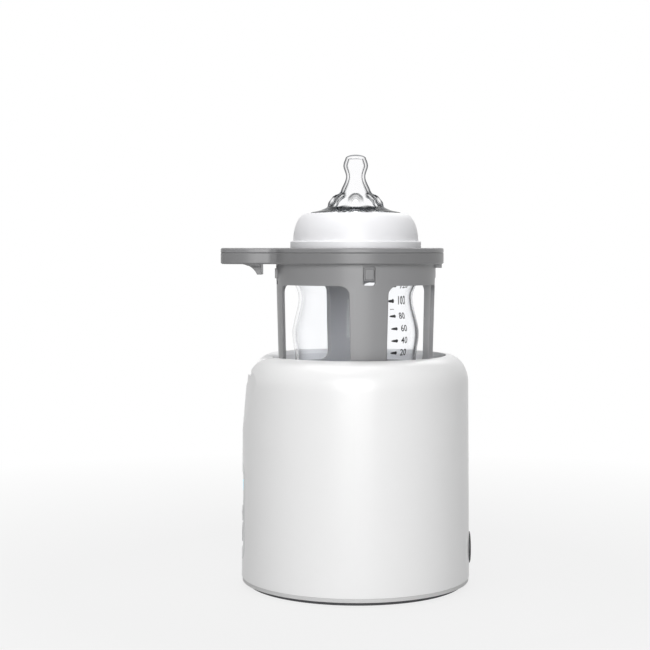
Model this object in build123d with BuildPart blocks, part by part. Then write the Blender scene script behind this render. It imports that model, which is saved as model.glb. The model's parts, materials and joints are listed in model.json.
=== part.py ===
from build123d import *
import os
from math import asin, cos, degrees, radians, sin, sqrt, tan

# Bottle warmer in millimetres, +Z up, standing on z = 0.
# The origin is on the water chamber's axis. The front, with handle and panel, faces -Y.

# ---------------------------------------------------------------- driving dimensions
# Housing
housing_height = 118.0        # table to the crest of the rim
service_space = 13.5          # tank's outside to the housing's outside, at the table
housing_draft = 0.5           # degrees, narrowing upwards
housing_wall = 2.4
housing_foot = 4.0            # lower edge of the housing above the table
rim_roll_height = 14.0
rim_crest_inset = 1.2         # crest of the rim outside the mouth
rim_edge_depth = 2.2          # thickness of the rim's inner edge

# Scoop in the front wall under the handle
scoop_foot = 75.6             # height of its lower tip
scoop_lean = 5.0              # degrees
scoop_curve_radius = 74.0
scoop_half_width = 32.0
scoop_corner_radius = 22.0

# Control panel in the front wall
panel_top = 63.0
panel_height = 50.0
panel_width = 34.0
panel_corner_radius = 9.0
bezel_border = 5.0
bezel_ledge = 1.2
bezel_flange_lap = 2.0
bezel_flange_thickness = 1.2
panel_recess = 0.5
panel_thickness = 2.0
panel_gap = 0.15
window_width = 16.0
window_height = 12.0
window_corner = 2.0
window_centre = 49.8
status_height = 41.7
status_radius = 1.25
step_button_height = 36.4
step_button_spacing = 10.4
step_button_radius = 4.0
power_button_height = 25.7
power_button_radius = 5.0
button_proud = 0.3            # button face in front of the panel face
button_depth = 3.4
button_lip = 1.0
button_gap = 0.25
button_travel = 0.8
control_board_depth = 7.9     # front face of the board behind the housing's radius at the table
control_board_width = 36.0
control_board_height = 46.0
pillar_radius = 2.2
pillar_x = 15.6
pillar_z = 20.0
panel_screw_radius = 1.0
panel_head_radius = 1.9
panel_head_height = 1.4
display_side_lap = 1.0        # display module beyond the window's sides
display_end_lap = 0.5
led_base_width = 3.0
led_base_height = 2.6
led_base_thickness = 1.0
parts_gap = 0.3               # parts on the control board to the panel's back
switch_body_height = 2.0
switch_body_half = 3.0
switch_body_corner = 0.5
plunger_radius = 1.75

# Water tank
tank_floor = 38.0             # underside of the tank's floor ring
tank_radius = 43.5            # inside
tank_wall = 2.0
tank_floor_lap = 7.5          # floor ring inside the tank's wall
ledge_drop = 9.0              # crest of the rim down to the ledge that the flange rests on
ledge_width = 3.1
collar_wall = 2.2
lug_clearance = 0.9           # lug to the walls on either side
lug_bottom = 36.0
lug_height = 10.0
lug_screw_radius = 1.75

# Heater
gasket_thickness = 1.0
heater_plate_thickness = 1.5
heater_plate_lap = 2.4        # plate's edge outside the opening in the tank's floor
heater_ring_radius = 25.0
heater_tube_radius = 3.0
heater_flat = 0.4
heater_ring_sweep = 315.0     # degrees
heater_lead_length = 7.0
heater_lead_turn = 3.0        # degrees back from each end of the ring
clamp_ring_thickness = 2.5
clamp_ring_lap = 2.0
clamp_ring_edge = 0.5         # clamp ring inside the tank's outside
clamp_screw_offset = 3.4      # screw circle outside the heater plate
clamp_screw_count = 6
clamp_screw_radius = 1.5
clamp_head_radius = 2.75
clamp_head_height = 1.6
clamp_boss_radius = 2.9
thermostat_radius = 8.0
thermostat_height = 8.0
thermostat_flange = 1.0
terminal_width = 6.3
terminal_thickness = 0.8
fuse_radius = 2.0
fuse_length = 11.0
probe_radius = 2.5
probe_reach = 3.0             # above the heater plate
probe_collar = 1.5
sensor_offset = 14.5
bracket_drop = 3.6
bracket_thickness = 0.8
bracket_half_length = 17.0
bracket_half_width = 4.5
bracket_collar = 2.4
bracket_foot_radius = 3.0
bracket_screw_x = 13.5
bracket_screw_radius = 1.5
bracket_head_radius = 2.7
bracket_head_height = 1.4

# Base
base_underside = 2.0
base_thickness = 2.5
base_rim_wall = 2.2
base_rim_height = 5.5
base_edge_inset = 0.4
post_lap = 0.4                # post's radius beyond the lug's
base_head_radius = 3.2
base_head_height = 2.6
foot_ring_inset = 3.0
foot_ring_width = 11.0
foot_ring_edge = 0.6
foot_groove_depth = 1.0
vent_count = 8
vent_circle = 24.0
vent_length = 16.0
vent_width = 2.6

# Power board and what stands on it
board_thickness = 1.6
board_height = 10.0           # underside above the table
board_length = 68.0
board_width = 46.0
board_corner = 2.0
board_boss_radius = 3.0
board_hole_inset = 4.0
board_shift = 1.0             # towards the rear
board_screw_radius = 1.5
board_head_radius = 2.7
board_head_height = 1.6
relay_size = (19.0, 15.0, 12.0)
relay_place = (17.0, 9.0)
relay_corner = 0.8
core_size = (24.0, 17.0, 9.0)
winding_size = (15.0, 21.0, 13.0)
winding_corner = 3.0
transformer_place = (-18.5, 7.0)
film_capacitor_size = (18.0, 8.0, 12.0)
film_capacitor_place = (17.0, -11.0)
film_capacitor_corner = 0.6
can_radius = 5.0
can_height = 15.0
can_corner = 0.7
can_place = (-23.5, -12.5)
line_fuse_radius = 2.6
line_fuse_length = 20.0
line_fuse_rise = 4.2          # its axis above the board
line_fuse_place = (-4.0, -14.0)
glass_step = 0.2              # glass tube inside the caps
clip_width = 3.6
clip_wall = 0.8
terminal_block_size = (12.0, 9.0, 10.0)
terminal_block_y = 18.0
terminal_hole_width = 3.4
terminal_hole_height = 4.0
terminal_hole_pitch = 5.5
terminal_hole_depth = 5.0

# Cord gland in the rear wall
gland_height = 18.0
gland_bore_radius = 3.2
gland_body_radius = 5.8
gland_flange_radius = 8.3
gland_flange_thickness = 1.8
gland_body_length = 12.0
gland_pad_depth = 1.2
gland_edge = 0.8
gland_nut_width = 15.0        # across flats
gland_nut_thickness = 5.0

# Basket
basket_raise = 55.7           # how far the basket stands above its seat
seat_gap = 0.1
flange_clearance = 1.4        # flange to the mouth
flange_height = 8.2
cover_thickness = 2.5
cover_edge = 0.9
parting_edge = 0.3            # chamfers where cover and flange meet
basket_clearance = 2.5        # top of the basket's wall to the tank
basket_taper = 1.5            # on the radius
basket_wall = 2.0
basket_depth = 67.0           # top of the flange to the underside of the floor
basket_floor_thickness = 3.0
strut_angle = 28.5            # degrees
strut_count = 4
strut_turn = 9.5              # degrees from +X to the first strut
window_drop = 18.7            # flange top to the top of the windows
window_foot = 7.0             # underside of the floor to the foot of the windows
window_radius = 4.5
drain_count = 8
drain_circle = 22.0
drain_length = 15.0
drain_width = 5.0

# Handle
handle_overhang = 9.7         # beyond the housing
handle_root_half = 20.0
handle_root_fillet = 6.0
handle_end_half = 14.5
handle_waist_inset = 2.0      # handle starts to narrow this far inside the housing's outside
handle_waist_radius = 30.0
handle_corner = 8.0
hook_clearance = 3.1          # back of the hook outside the flange
hook_drop = 5.5
hook_half_width = 11.0
hook_tip = 2.2
hook_curve_radius = 9.0
key_half_width = 4.0
key_inset = 1.1               # key inside the flange's edge
key_drop = 2.0
notch_side_gap = 1.0
notch_floor_gap = 0.4
notch_shoulder = 6.0
pocket_side_gap = 1.5
pocket_floor_gap = 0.6
pocket_back_gap = 1.0

# Snap tongues of the rim cover
tongue_width = 5.4
tongue_thickness = 1.3
tongue_drop = 16.3
tongue_barb = 1.2
tongue_gap = 0.3
barb_lead = 0.8               # tongue's foot below its barb
barb_height = 5.1
snap_slot_height = 9.4
snap_slot_top = 9.1
snap_slot_corner = 1.2

# Bottle
bottle_base_radius = 31.2
bottle_belly_radius = 32.6
bottle_waist_radius = 29.7
bottle_shoulder_radius = 32.2
bottle_neck_radius = 28.2
bottle_height = 76.0          # base to the top of the neck
bottle_belly_height = 21.0
bottle_waist_height = 41.0
bottle_shoulder_height = 50.0
bottle_shoulder_rise = 4.5
bottle_wall = 1.6
bottle_corner_radius = 6.0
thread_height = 1.4
thread_width = 1.6
thread_pitch = 4.0
thread_lands = 3
thread_gap = 0.3
thread_flare = 0.5            # land's root wider than its crest, each side
land_root = 0.3               # land sunk into the wall that carries it
first_land_rise = 7.2         # from the shoulder

# Screw ring and teat
ring_radius = 33.6
ring_skirt_height = 13.9
ring_step = 1.4
ring_top_radius = 24.9
ring_hole_radius = 24.2
ring_wall = 2.2
ring_height = 28.2
ring_lip = 3.2
ring_edge = 0.4
teat_flange_thickness = 2.5
teat_flange_radius = 26.4
teat_base_radius = 23.7
teat_wall = 1.6
teat_height = 30.1            # above the ring's top

# ---------------------------------------------------------------- derived places
fit_gap = 0.1
screw_gap = 0.05
tank_outside = tank_radius + tank_wall
housing_radius = tank_outside + service_space
mouth_radius = tank_radius + ledge_width
crest_radius = mouth_radius + rim_crest_inset
ledge_height = housing_height - ledge_drop
tank_floor_radius = tank_radius - tank_floor_lap
heater_plate_radius = tank_floor_radius + heater_plate_lap
clamp_ring_bore = tank_floor_radius - clamp_ring_lap
clamp_screw_circle = heater_plate_radius + clamp_screw_offset
foot_ring_outer = housing_radius - foot_ring_inset
foot_ring_inner = foot_ring_outer - foot_ring_width
flange_radius = mouth_radius - flange_clearance
basket_top_radius = tank_radius - basket_clearance
basket_bottom_radius = basket_top_radius - basket_taper
handle_reach = housing_radius + handle_overhang
handle_waist = housing_radius - handle_waist_inset
hook_back = flange_radius + hook_clearance
key_reach = flange_radius - key_inset
control_board_front = housing_radius - control_board_depth
panel_bottom = panel_top - panel_height
panel_centre = (panel_top + panel_bottom) / 2
rim_foot = housing_height - rim_roll_height
mouth_floor = housing_height - rim_edge_depth
collar_radius = mouth_radius + collar_wall
flange_bottom = ledge_height + seat_gap + basket_raise
flange_top = flange_bottom + flange_height
cover_bottom = flange_top - cover_thickness
saddle_floor = ledge_height + seat_gap - notch_floor_gap
saddle_half = handle_root_half + notch_side_gap
pocket_floor = ledge_height + seat_gap - hook_drop - pocket_floor_gap
pocket_half = hook_half_width + pocket_side_gap
pocket_back = hook_back - pocket_back_gap
basket_floor_top = flange_top - basket_depth + basket_floor_thickness
plate_top = tank_floor - gasket_thickness
plate_bottom = plate_top - heater_plate_thickness
clamp_ring_bottom = plate_bottom - clamp_ring_thickness
board_top = board_height + board_thickness
bottle_base = basket_floor_top
bottle_top = bottle_base + bottle_height
ring_top = bottle_top + teat_flange_thickness + ring_lip
ring_bottom = ring_top - ring_height


def housing_radius_at(height, inset=0.0):
    """Outside radius of the housing's wall at a height, less an inset."""
    return housing_radius - height * tan(radians(housing_draft)) - inset


# ---------------------------------------------------------------- shared shapes
def housing_form(wall):
    """Solid outline of the housing, moved inwards by a wall thickness."""
    top = housing_height - (rim_edge_depth if wall else 0)
    foot = 0 if wall else housing_foot
    with BuildPart() as form:
        with BuildSketch(Plane.XZ):
            with BuildLine():
                Line((0, top), (0, foot))
                Line((0, foot), (housing_radius_at(foot, wall), foot))
                Line((housing_radius_at(foot, wall), foot), (housing_radius_at(rim_foot, wall), rim_foot))
                EllipticalCenterArc(
                    (crest_radius, rim_foot),
                    housing_radius_at(rim_foot, wall) - crest_radius,
                    top - rim_foot,
                    start_angle=0,
                    arc_size=90,
                )
                Line((crest_radius, top), (0, top))
            make_face()
        revolve(axis=Axis.Z)
        add(scoop_tool(wall), mode=Mode.SUBTRACT)
    return form.part


def scoop_tool(wall):
    """What the scoop takes off the front: all that lies outside a leaning cylinder."""
    axis_y = scoop_curve_radius - housing_radius_at(scoop_foot)
    lean = radians(scoop_lean)
    axis_plane = Plane(origin=(0, axis_y, scoop_foot), x_dir=(1, 0, 0), z_dir=(0, sin(lean), cos(lean)))
    half_width = scoop_half_width + wall
    with BuildPart() as tool:
        with BuildSketch(Plane.XZ):
            with Locations((0, housing_height)):
                outline = Rectangle(2 * half_width, 2 * (housing_height - scoop_foot + wall))
            fillet(outline.vertices(), scoop_corner_radius)
        extrude(amount=2 * housing_radius)
        with BuildSketch(axis_plane):
            Circle(scoop_curve_radius - wall)
        extrude(amount=housing_height, both=True, mode=Mode.SUBTRACT)
    return tool.part


def notch_tool(wall):
    """Saddle for the handle and pocket for the hook, cut in from the front rim."""
    crest = housing_height
    above = crest + housing_wall
    outer_half = saddle_half + notch_shoulder
    with BuildPart() as tool:
        with BuildSketch(Plane.XZ):
            with BuildLine():
                Line((outer_half, above), (outer_half, crest))
                RadiusArc((outer_half, crest), (saddle_half, crest - notch_shoulder), -notch_shoulder)
                Line((saddle_half, crest - notch_shoulder), (saddle_half, saddle_floor))
                Line((saddle_half, saddle_floor), (-saddle_half, saddle_floor))
                Line((-saddle_half, saddle_floor), (-saddle_half, crest - notch_shoulder))
                RadiusArc((-saddle_half, crest - notch_shoulder), (-outer_half, crest), -notch_shoulder)
                Line((-outer_half, crest), (-outer_half, above))
                Line((-outer_half, above), (outer_half, above))
            make_face()
            if wall:
                offset(amount=wall, kind=Kind.INTERSECTION)
        extrude(amount=2 * housing_radius)
        with BuildSketch(Plane.XZ.offset(pocket_back if not wall else 0)):
            with Locations((0, (crest + pocket_floor) / 2)):
                RectangleRounded(
                    2 * (pocket_half + wall),
                    crest - pocket_floor + 2 * wall,
                    notch_shoulder / 2 + wall,
                )
        extrude(amount=2 * housing_radius)
    return tool.part


def front_prism(width, height, corner_radius, centre_height, centre_x=0.0):
    """Rounded block that runs forwards from the axis through the front wall."""
    with BuildPart() as prism:
        with BuildSketch(Plane.XZ):
            with Locations((centre_x, centre_height)):
                RectangleRounded(width, height, corner_radius)
        extrude(amount=2 * housing_radius)
    return prism.part


def front_band(outer_inset, inner_inset):
    """Shell between two insets from the housing's outside, over the panel's heights."""
    low = panel_bottom - 2 * bezel_flange_lap
    high = panel_top + 2 * bezel_flange_lap
    with BuildPart() as band:
        with BuildSketch(Plane.XZ):
            with BuildLine():
                Polyline(
                    (housing_radius_at(low, inner_inset), low),
                    (housing_radius_at(low, outer_inset), low),
                    (housing_radius_at(high, outer_inset), high),
                    (housing_radius_at(high, inner_inset), high),
                    close=True,
                )
            make_face()
        revolve(axis=Axis.Z)
    return band.part


def screws(places, head_radius, head_height, shank_radius, shank_length):
    """A group of like screws. Each place is the plane of a head's outer face, pointing into the work."""
    group = []
    for place in places:
        with BuildPart() as screw:
            with BuildSketch(place):
                Circle(head_radius)
            extrude(amount=head_height)
            with BuildSketch(place.offset(head_height)):
                Circle(shank_radius)
            extrude(amount=shank_length)
            with BuildSketch(place):
                Rectangle(head_radius * 1.3, head_radius * 0.25)
                Rectangle(head_radius * 0.25, head_radius * 1.3)
            extrude(amount=head_height / 2, mode=Mode.SUBTRACT)
        group.append(screw.part)
    return Compound(children=group)


def write_part(part, label):
    """Name a finished piece and write its STEP file."""
    part.label = label
    export_step(part, f"parts/{label}.step")


os.makedirs("parts", exist_ok=True)

# ---------------------------------------------------------------- outer housing
wall_gap = 0.2
bezel_opening = front_prism(panel_width, panel_height, panel_corner_radius, panel_centre)
gland_pad_y = housing_radius_at(gland_height) - gland_pad_depth
gland_pad_plane = Plane.XZ.offset(-gland_pad_y)

with BuildPart() as housing_inside:
    add(housing_form(housing_wall))
    add(notch_tool(housing_wall), mode=Mode.SUBTRACT)
    with BuildSketch():
        Circle(collar_radius + wall_gap)
    extrude(amount=mouth_floor)

with BuildPart() as outer_housing:
    add(housing_form(0))
    add(notch_tool(0), mode=Mode.SUBTRACT)
    add(housing_inside.part, mode=Mode.SUBTRACT)
    with BuildSketch(Plane.XY.offset(housing_foot)):
        Circle(mouth_radius)
    extrude(amount=housing_height, mode=Mode.SUBTRACT)
    add(bezel_opening, mode=Mode.SUBTRACT)
    with BuildSketch(gland_pad_plane):
        with Locations((0, gland_height)):
            Circle(gland_flange_radius + fit_gap)
    extrude(amount=-2 * gland_pad_depth, mode=Mode.SUBTRACT)
    with BuildSketch(gland_pad_plane):
        with Locations((0, gland_height)):
            Circle(gland_body_radius + fit_gap)
    extrude(amount=2 * housing_wall, mode=Mode.SUBTRACT)
write_part(outer_housing.part, "outer_housing")

# ---------------------------------------------------------------- inner tank
lug_space = housing_radius_at(lug_bottom, housing_wall) - tank_outside
lug_circle = tank_outside + lug_space / 2
lug_radius = lug_space / 2 - lug_clearance
lug_locations = PolarLocations(lug_circle, 4, start_angle=45)
clamp_locations = PolarLocations(clamp_screw_circle, clamp_screw_count, start_angle=30)

with BuildPart() as inner_tank:
    with BuildSketch(Plane.XZ):
        with BuildLine():
            Polyline(
                (0, tank_floor),
                (tank_outside, tank_floor),
                (tank_outside, ledge_height - tank_wall),
                (collar_radius, ledge_height - tank_wall),
                (collar_radius, mouth_floor),
                (0, mouth_floor),
                close=True,
            )
        make_face()
    revolve(axis=Axis.Z)
    # apron that closes the back of the hook's pocket
    with BuildSketch(Plane.XY.offset(pocket_floor - tank_wall)):
        Circle(collar_radius)
        with Locations((0, -tank_radius - housing_radius)):
            Rectangle(2 * (pocket_half + housing_wall), 2 * housing_radius, mode=Mode.INTERSECT)
    extrude(amount=ledge_height - pocket_floor)
    # lugs for the long base screws, each with a web to the wall
    with BuildSketch(Plane.XY.offset(lug_bottom)):
        with lug_locations:
            Circle(lug_radius)
        with PolarLocations((tank_radius + lug_circle) / 2, 4, start_angle=45):
            Rectangle(lug_circle - tank_radius, lug_radius)
        Circle(tank_outside - tank_wall / 2, mode=Mode.SUBTRACT)
    extrude(amount=lug_height)
    # bosses for the clamp ring's screws
    with BuildSketch(Plane.XY.offset(plate_bottom)):
        with clamp_locations:
            Circle(clamp_boss_radius)
    extrude(amount=tank_floor - plate_bottom)
    add(notch_tool(0), mode=Mode.SUBTRACT)
    # water chamber, ledge and mouth
    with BuildSketch(Plane.XY.offset(tank_floor + tank_wall)):
        Circle(tank_radius)
    extrude(amount=housing_height, mode=Mode.SUBTRACT)
    with BuildSketch(Plane.XY.offset(ledge_height)):
        Circle(mouth_radius)
    extrude(amount=housing_height, mode=Mode.SUBTRACT)
    with BuildSketch(Plane.XY.offset(plate_bottom)):
        Circle(tank_floor_radius)
    extrude(amount=housing_height, mode=Mode.SUBTRACT)
    # notch for the basket's rear key
    with BuildSketch(Plane.XY.offset(ledge_height - key_drop - 2 * notch_floor_gap)):
        with Locations((0, tank_radius)):
            Rectangle(2 * (key_half_width + notch_side_gap), 2 * (key_reach + notch_floor_gap - tank_radius))
    extrude(amount=housing_height, mode=Mode.SUBTRACT)
    # screw holes
    with BuildSketch(Plane.XY.offset(lug_bottom)):
        with lug_locations:
            Circle(lug_screw_radius + screw_gap)
    extrude(amount=lug_height - tank_wall, mode=Mode.SUBTRACT)
    with BuildSketch(Plane.XY.offset(plate_bottom)):
        with clamp_locations:
            Circle(clamp_screw_radius + screw_gap)
    extrude(amount=tank_floor - plate_bottom + tank_wall / 2, mode=Mode.SUBTRACT)
write_part(inner_tank.part, "inner_tank")

# ---------------------------------------------------------------- heater under the tank
with BuildPart() as heater_gasket:
    with BuildSketch(Plane.XY.offset(plate_top)):
        Circle(heater_plate_radius)
        Circle(tank_floor_radius, mode=Mode.SUBTRACT)
    extrude(amount=gasket_thickness)
write_part(heater_gasket.part, "heater_gasket")

with BuildPart() as heater_plate:
    with BuildSketch(Plane.XY.offset(plate_bottom)):
        Circle(heater_plate_radius)
        with Locations((0, -sensor_offset)):
            Circle(probe_radius + fit_gap, mode=Mode.SUBTRACT)
    extrude(amount=heater_plate_thickness)
write_part(heater_plate.part, "heater_plate")

heater_centre = plate_bottom + heater_flat - heater_tube_radius
heater_end_angle = (360 - heater_ring_sweep) / 2
heater_start = Plane.XZ.rotated((0, 0, heater_end_angle))
with BuildPart() as heater_element:
    with BuildSketch(heater_start):
        with Locations((heater_ring_radius, heater_centre)):
            Circle(heater_tube_radius)
    revolve(axis=Axis.Z, revolution_arc=heater_ring_sweep)
    with BuildSketch(Plane.XY.offset(heater_centre)):
        for lead_angle in (heater_end_angle - heater_lead_turn, heater_lead_turn - heater_end_angle):
            with PolarLocations(heater_ring_radius, 1, start_angle=lead_angle):
                Circle(heater_tube_radius * 0.6)
    extrude(amount=-heater_lead_length)
    split(bisect_by=Plane.XY.offset(plate_bottom), keep=Keep.BOTTOM)
write_part(heater_element.part, "heater_element")

with BuildPart() as clamp_ring:
    with BuildSketch(Plane.XY.offset(clamp_ring_bottom)):
        Circle(tank_outside - clamp_ring_edge)
        Circle(clamp_ring_bore, mode=Mode.SUBTRACT)
        with clamp_locations:
            Circle(clamp_screw_radius + fit_gap, mode=Mode.SUBTRACT)
    extrude(amount=clamp_ring_thickness)
write_part(clamp_ring.part, "clamp_ring")

clamp_screw_planes = [
    Plane(origin=(place.position.X, place.position.Y, clamp_ring_bottom - clamp_head_height))
    for place in clamp_locations.local_locations
]
clamp_shank = clamp_ring_thickness + tank_floor - plate_bottom + tank_wall / 4
clamp_screws = screws(
    clamp_screw_planes, clamp_head_radius, clamp_head_height, clamp_screw_radius, clamp_shank
)
write_part(clamp_screws, "clamp_screws")

# ---------------------------------------------------------------- thermostat, fuse and probe
with BuildPart() as thermostat:
    with BuildSketch(Plane.XY.offset(plate_bottom)):
        Circle(thermostat_radius)
    extrude(amount=-thermostat_height)
    with BuildSketch(Plane.XY.offset(plate_bottom)):
        Circle(thermostat_radius + thermostat_flange)
    extrude(amount=-bracket_drop + bracket_thickness)
    with BuildSketch(Plane.XY.offset(plate_bottom - thermostat_height)):
        with GridLocations(thermostat_radius, 0, 2, 1):
            Rectangle(terminal_thickness, terminal_width)
    extrude(amount=-heater_lead_length / 2)
write_part(thermostat.part, "thermostat")

with BuildPart() as thermostat_bracket:
    with BuildSketch(Plane.XY.offset(plate_bottom - bracket_drop)):
        Rectangle(2 * bracket_half_length, 2 * bracket_half_width)
    extrude(amount=bracket_thickness)
    with BuildSketch(Plane.XY.offset(plate_bottom - bracket_drop)):
        Circle(thermostat_radius + 2 * fit_gap)
    extrude(amount=bracket_thickness, mode=Mode.SUBTRACT)
    with BuildSketch(Plane.XY.offset(plate_bottom - bracket_drop)):
        Circle(thermostat_radius + bracket_collar)
        Circle(thermostat_radius + 2 * fit_gap, mode=Mode.SUBTRACT)
    extrude(amount=bracket_thickness)
    with BuildSketch(Plane.XY.offset(plate_bottom)):
        with GridLocations(2 * bracket_screw_x, 0, 2, 1):
            Circle(bracket_foot_radius)
    extrude(amount=-bracket_drop)
    with BuildSketch(Plane.XY.offset(plate_bottom)):
        with GridLocations(2 * bracket_screw_x, 0, 2, 1):
            Circle(bracket_screw_radius + screw_gap)
    extrude(amount=-bracket_drop, mode=Mode.SUBTRACT)
write_part(thermostat_bracket.part, "thermostat_bracket")

bracket_screw_planes = [
    Plane(origin=(side * bracket_screw_x, 0, plate_bottom - bracket_drop - bracket_head_height))
    for side in (-1, 1)
]
bracket_screws = screws(
    bracket_screw_planes, bracket_head_radius, bracket_head_height, bracket_screw_radius, bracket_drop
)
write_part(bracket_screws, "bracket_screws")

with BuildPart() as thermal_fuse:
    with BuildSketch(Plane.YZ.offset(-fuse_length / 2)):
        with Locations((sensor_offset, plate_bottom - fuse_radius)):
            Circle(fuse_radius)
    extrude(amount=fuse_length)
    with BuildSketch(Plane.YZ.offset(-fuse_length)):
        with Locations((sensor_offset, plate_bottom - fuse_radius)):
            Circle(fuse_radius / 3)
    extrude(amount=2 * fuse_length)
write_part(thermal_fuse.part, "thermal_fuse")

with BuildPart() as temperature_probe:
    with BuildSketch(Plane.XY.offset(plate_top + probe_reach)):
        with Locations((0, -sensor_offset)):
            Circle(probe_radius)
    extrude(amount=-probe_reach - heater_plate_thickness - thermostat_height / 2)
    fillet(temperature_probe.edges().group_by(Axis.Z)[-1], probe_radius / 2)
    with BuildSketch(Plane.XY.offset(plate_bottom)):
        with Locations((0, -sensor_offset)):
            Circle(probe_radius + probe_collar)
    extrude(amount=-thermostat_height / 4)
write_part(temperature_probe.part, "temperature_probe")

# ---------------------------------------------------------------- base plate, its screws and foot ring
base_top = base_underside + base_thickness
groove_top = base_underside + foot_groove_depth
base_rim_top = base_top + base_rim_height
base_rim_radius = housing_radius_at(base_rim_top, housing_wall) - fit_gap
board_hole_span_x = board_length - 2 * board_hole_inset
board_hole_span_y = board_width - 2 * board_hole_inset
with BuildPart() as base_plate:
    with BuildSketch(Plane.XZ):
        with BuildLine():
            Polyline(
                (0, base_underside),
                (foot_ring_inner - fit_gap, base_underside),
                (foot_ring_inner - fit_gap, groove_top),
                (foot_ring_outer + fit_gap, groove_top),
                (foot_ring_outer + fit_gap, base_underside),
                (housing_radius - base_edge_inset, base_underside),
                (housing_radius - base_edge_inset, housing_foot),
                (base_rim_radius, housing_foot),
                (base_rim_radius, base_rim_top),
                (base_rim_radius - base_rim_wall, base_rim_top),
                (base_rim_radius - base_rim_wall, base_top),
                (0, base_top),
                close=True,
            )
        make_face()
    revolve(axis=Axis.Z)
    with BuildSketch(Plane.XY.offset(base_top)):
        with lug_locations:
            Circle(lug_radius + post_lap)
    extrude(amount=lug_bottom - base_top)
    with BuildSketch(Plane.XY.offset(base_top)):
        with Locations((0, board_shift)):
            with GridLocations(board_hole_span_x, board_hole_span_y, 2, 2):
                Circle(board_boss_radius)
    extrude(amount=board_height - base_top)
    with BuildSketch(Plane.XY.offset(base_top)):
        with Locations((0, board_shift)):
            with GridLocations(board_hole_span_x, board_hole_span_y, 2, 2):
                Circle(board_screw_radius + screw_gap)
    extrude(amount=board_height - base_top, mode=Mode.SUBTRACT)
    with BuildSketch(Plane.XY.offset(groove_top)):
        with lug_locations:
            Circle(base_head_radius + fit_gap)
    extrude(amount=base_head_height + 4 * fit_gap, mode=Mode.SUBTRACT)
    with BuildSketch(Plane.XY.offset(groove_top)):
        with lug_locations:
            Circle(lug_screw_radius + fit_gap)
    extrude(amount=lug_bottom, mode=Mode.SUBTRACT)
    with BuildSketch(Plane.XY.offset(base_underside)):
        with PolarLocations(vent_circle, vent_count, start_angle=180 / vent_count):
            SlotOverall(vent_length, vent_width)
    extrude(amount=base_thickness, mode=Mode.SUBTRACT)
write_part(base_plate.part, "base_plate")

base_screw_planes = [
    Plane(origin=(place.position.X, place.position.Y, groove_top + 4 * fit_gap))
    for place in lug_locations.local_locations
]
base_shank = lug_bottom + lug_height - tank_wall - 1 - groove_top - base_head_height
base_screws = screws(base_screw_planes, base_head_radius, base_head_height, lug_screw_radius, base_shank)
write_part(base_screws, "base_screws")

with BuildPart() as foot_ring:
    with BuildSketch():
        Circle(foot_ring_outer)
        Circle(foot_ring_inner, mode=Mode.SUBTRACT)
    extrude(amount=groove_top)
    fillet(foot_ring.edges().group_by(Axis.Z)[0], foot_ring_edge)
write_part(foot_ring.part, "foot_ring")

# ---------------------------------------------------------------- power board
with BuildPart() as power_board:
    with BuildSketch(Plane.XY.offset(board_height)):
        with Locations((0, board_shift)):
            RectangleRounded(board_length, board_width, board_corner)
            with GridLocations(board_hole_span_x, board_hole_span_y, 2, 2):
                Circle(board_screw_radius + fit_gap, mode=Mode.SUBTRACT)
    extrude(amount=board_thickness)
write_part(power_board.part, "power_board")

board_screw_planes = [
    Plane(
        origin=(x, board_shift + y, board_top + board_head_height),
        x_dir=(1, 0, 0),
        z_dir=(0, 0, -1),
    )
    for x in (-board_hole_span_x / 2, board_hole_span_x / 2)
    for y in (-board_hole_span_y / 2, board_hole_span_y / 2)
]
board_shank = board_height - base_top
board_screws = screws(
    board_screw_planes, board_head_radius, board_head_height, board_screw_radius, board_shank
)
write_part(board_screws, "board_screws")



def block_on_board(size, place):
    """Upright block that stands on the power board."""
    with BuildPart() as block:
        with BuildSketch(Plane.XY.offset(board_top)):
            with Locations(place):
                Rectangle(size[0], size[1])
        extrude(amount=size[2])
    return block.part


with BuildPart() as relay:
    add(block_on_board(relay_size, relay_place))
    fillet(relay.edges().filter_by(Axis.Z), relay_corner)
write_part(relay.part, "relay")

with BuildPart() as transformer:
    add(block_on_board(winding_size, transformer_place))
    fillet(transformer.edges().filter_by(Axis.Z), winding_corner)
    add(block_on_board(core_size, transformer_place))
write_part(transformer.part, "transformer")

with BuildPart() as film_capacitor:
    add(block_on_board(film_capacitor_size, film_capacitor_place))
    chamfer(film_capacitor.edges().filter_by(Axis.Z), film_capacitor_corner)
write_part(film_capacitor.part, "film_capacitor")

with BuildPart() as smoothing_capacitor:
    with BuildSketch(Plane.XY.offset(board_top)):
        with Locations(can_place):
            Circle(can_radius)
    extrude(amount=can_height)
    fillet(smoothing_capacitor.edges().group_by(Axis.Z)[-1], can_corner)
write_part(smoothing_capacitor.part, "smoothing_capacitor")

line_fuse_x, line_fuse_y = line_fuse_place
line_fuse_axis = board_top + line_fuse_rise
with BuildPart() as line_fuse:
    with BuildSketch(Plane.YZ.offset(line_fuse_x - line_fuse_length / 2)):
        with Locations((line_fuse_y, line_fuse_axis)):
            Circle(line_fuse_radius - glass_step)
    extrude(amount=line_fuse_length)
    with BuildSketch(Plane.YZ.offset(line_fuse_x - line_fuse_length / 2)):
        with Locations((line_fuse_y, line_fuse_axis)):
            Circle(line_fuse_radius)
    extrude(amount=line_fuse_length / 4)
    with BuildSketch(Plane.YZ.offset(line_fuse_x + line_fuse_length / 2)):
        with Locations((line_fuse_y, line_fuse_axis)):
            Circle(line_fuse_radius)
    extrude(amount=-line_fuse_length / 4)
write_part(line_fuse.part, "line_fuse")

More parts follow.
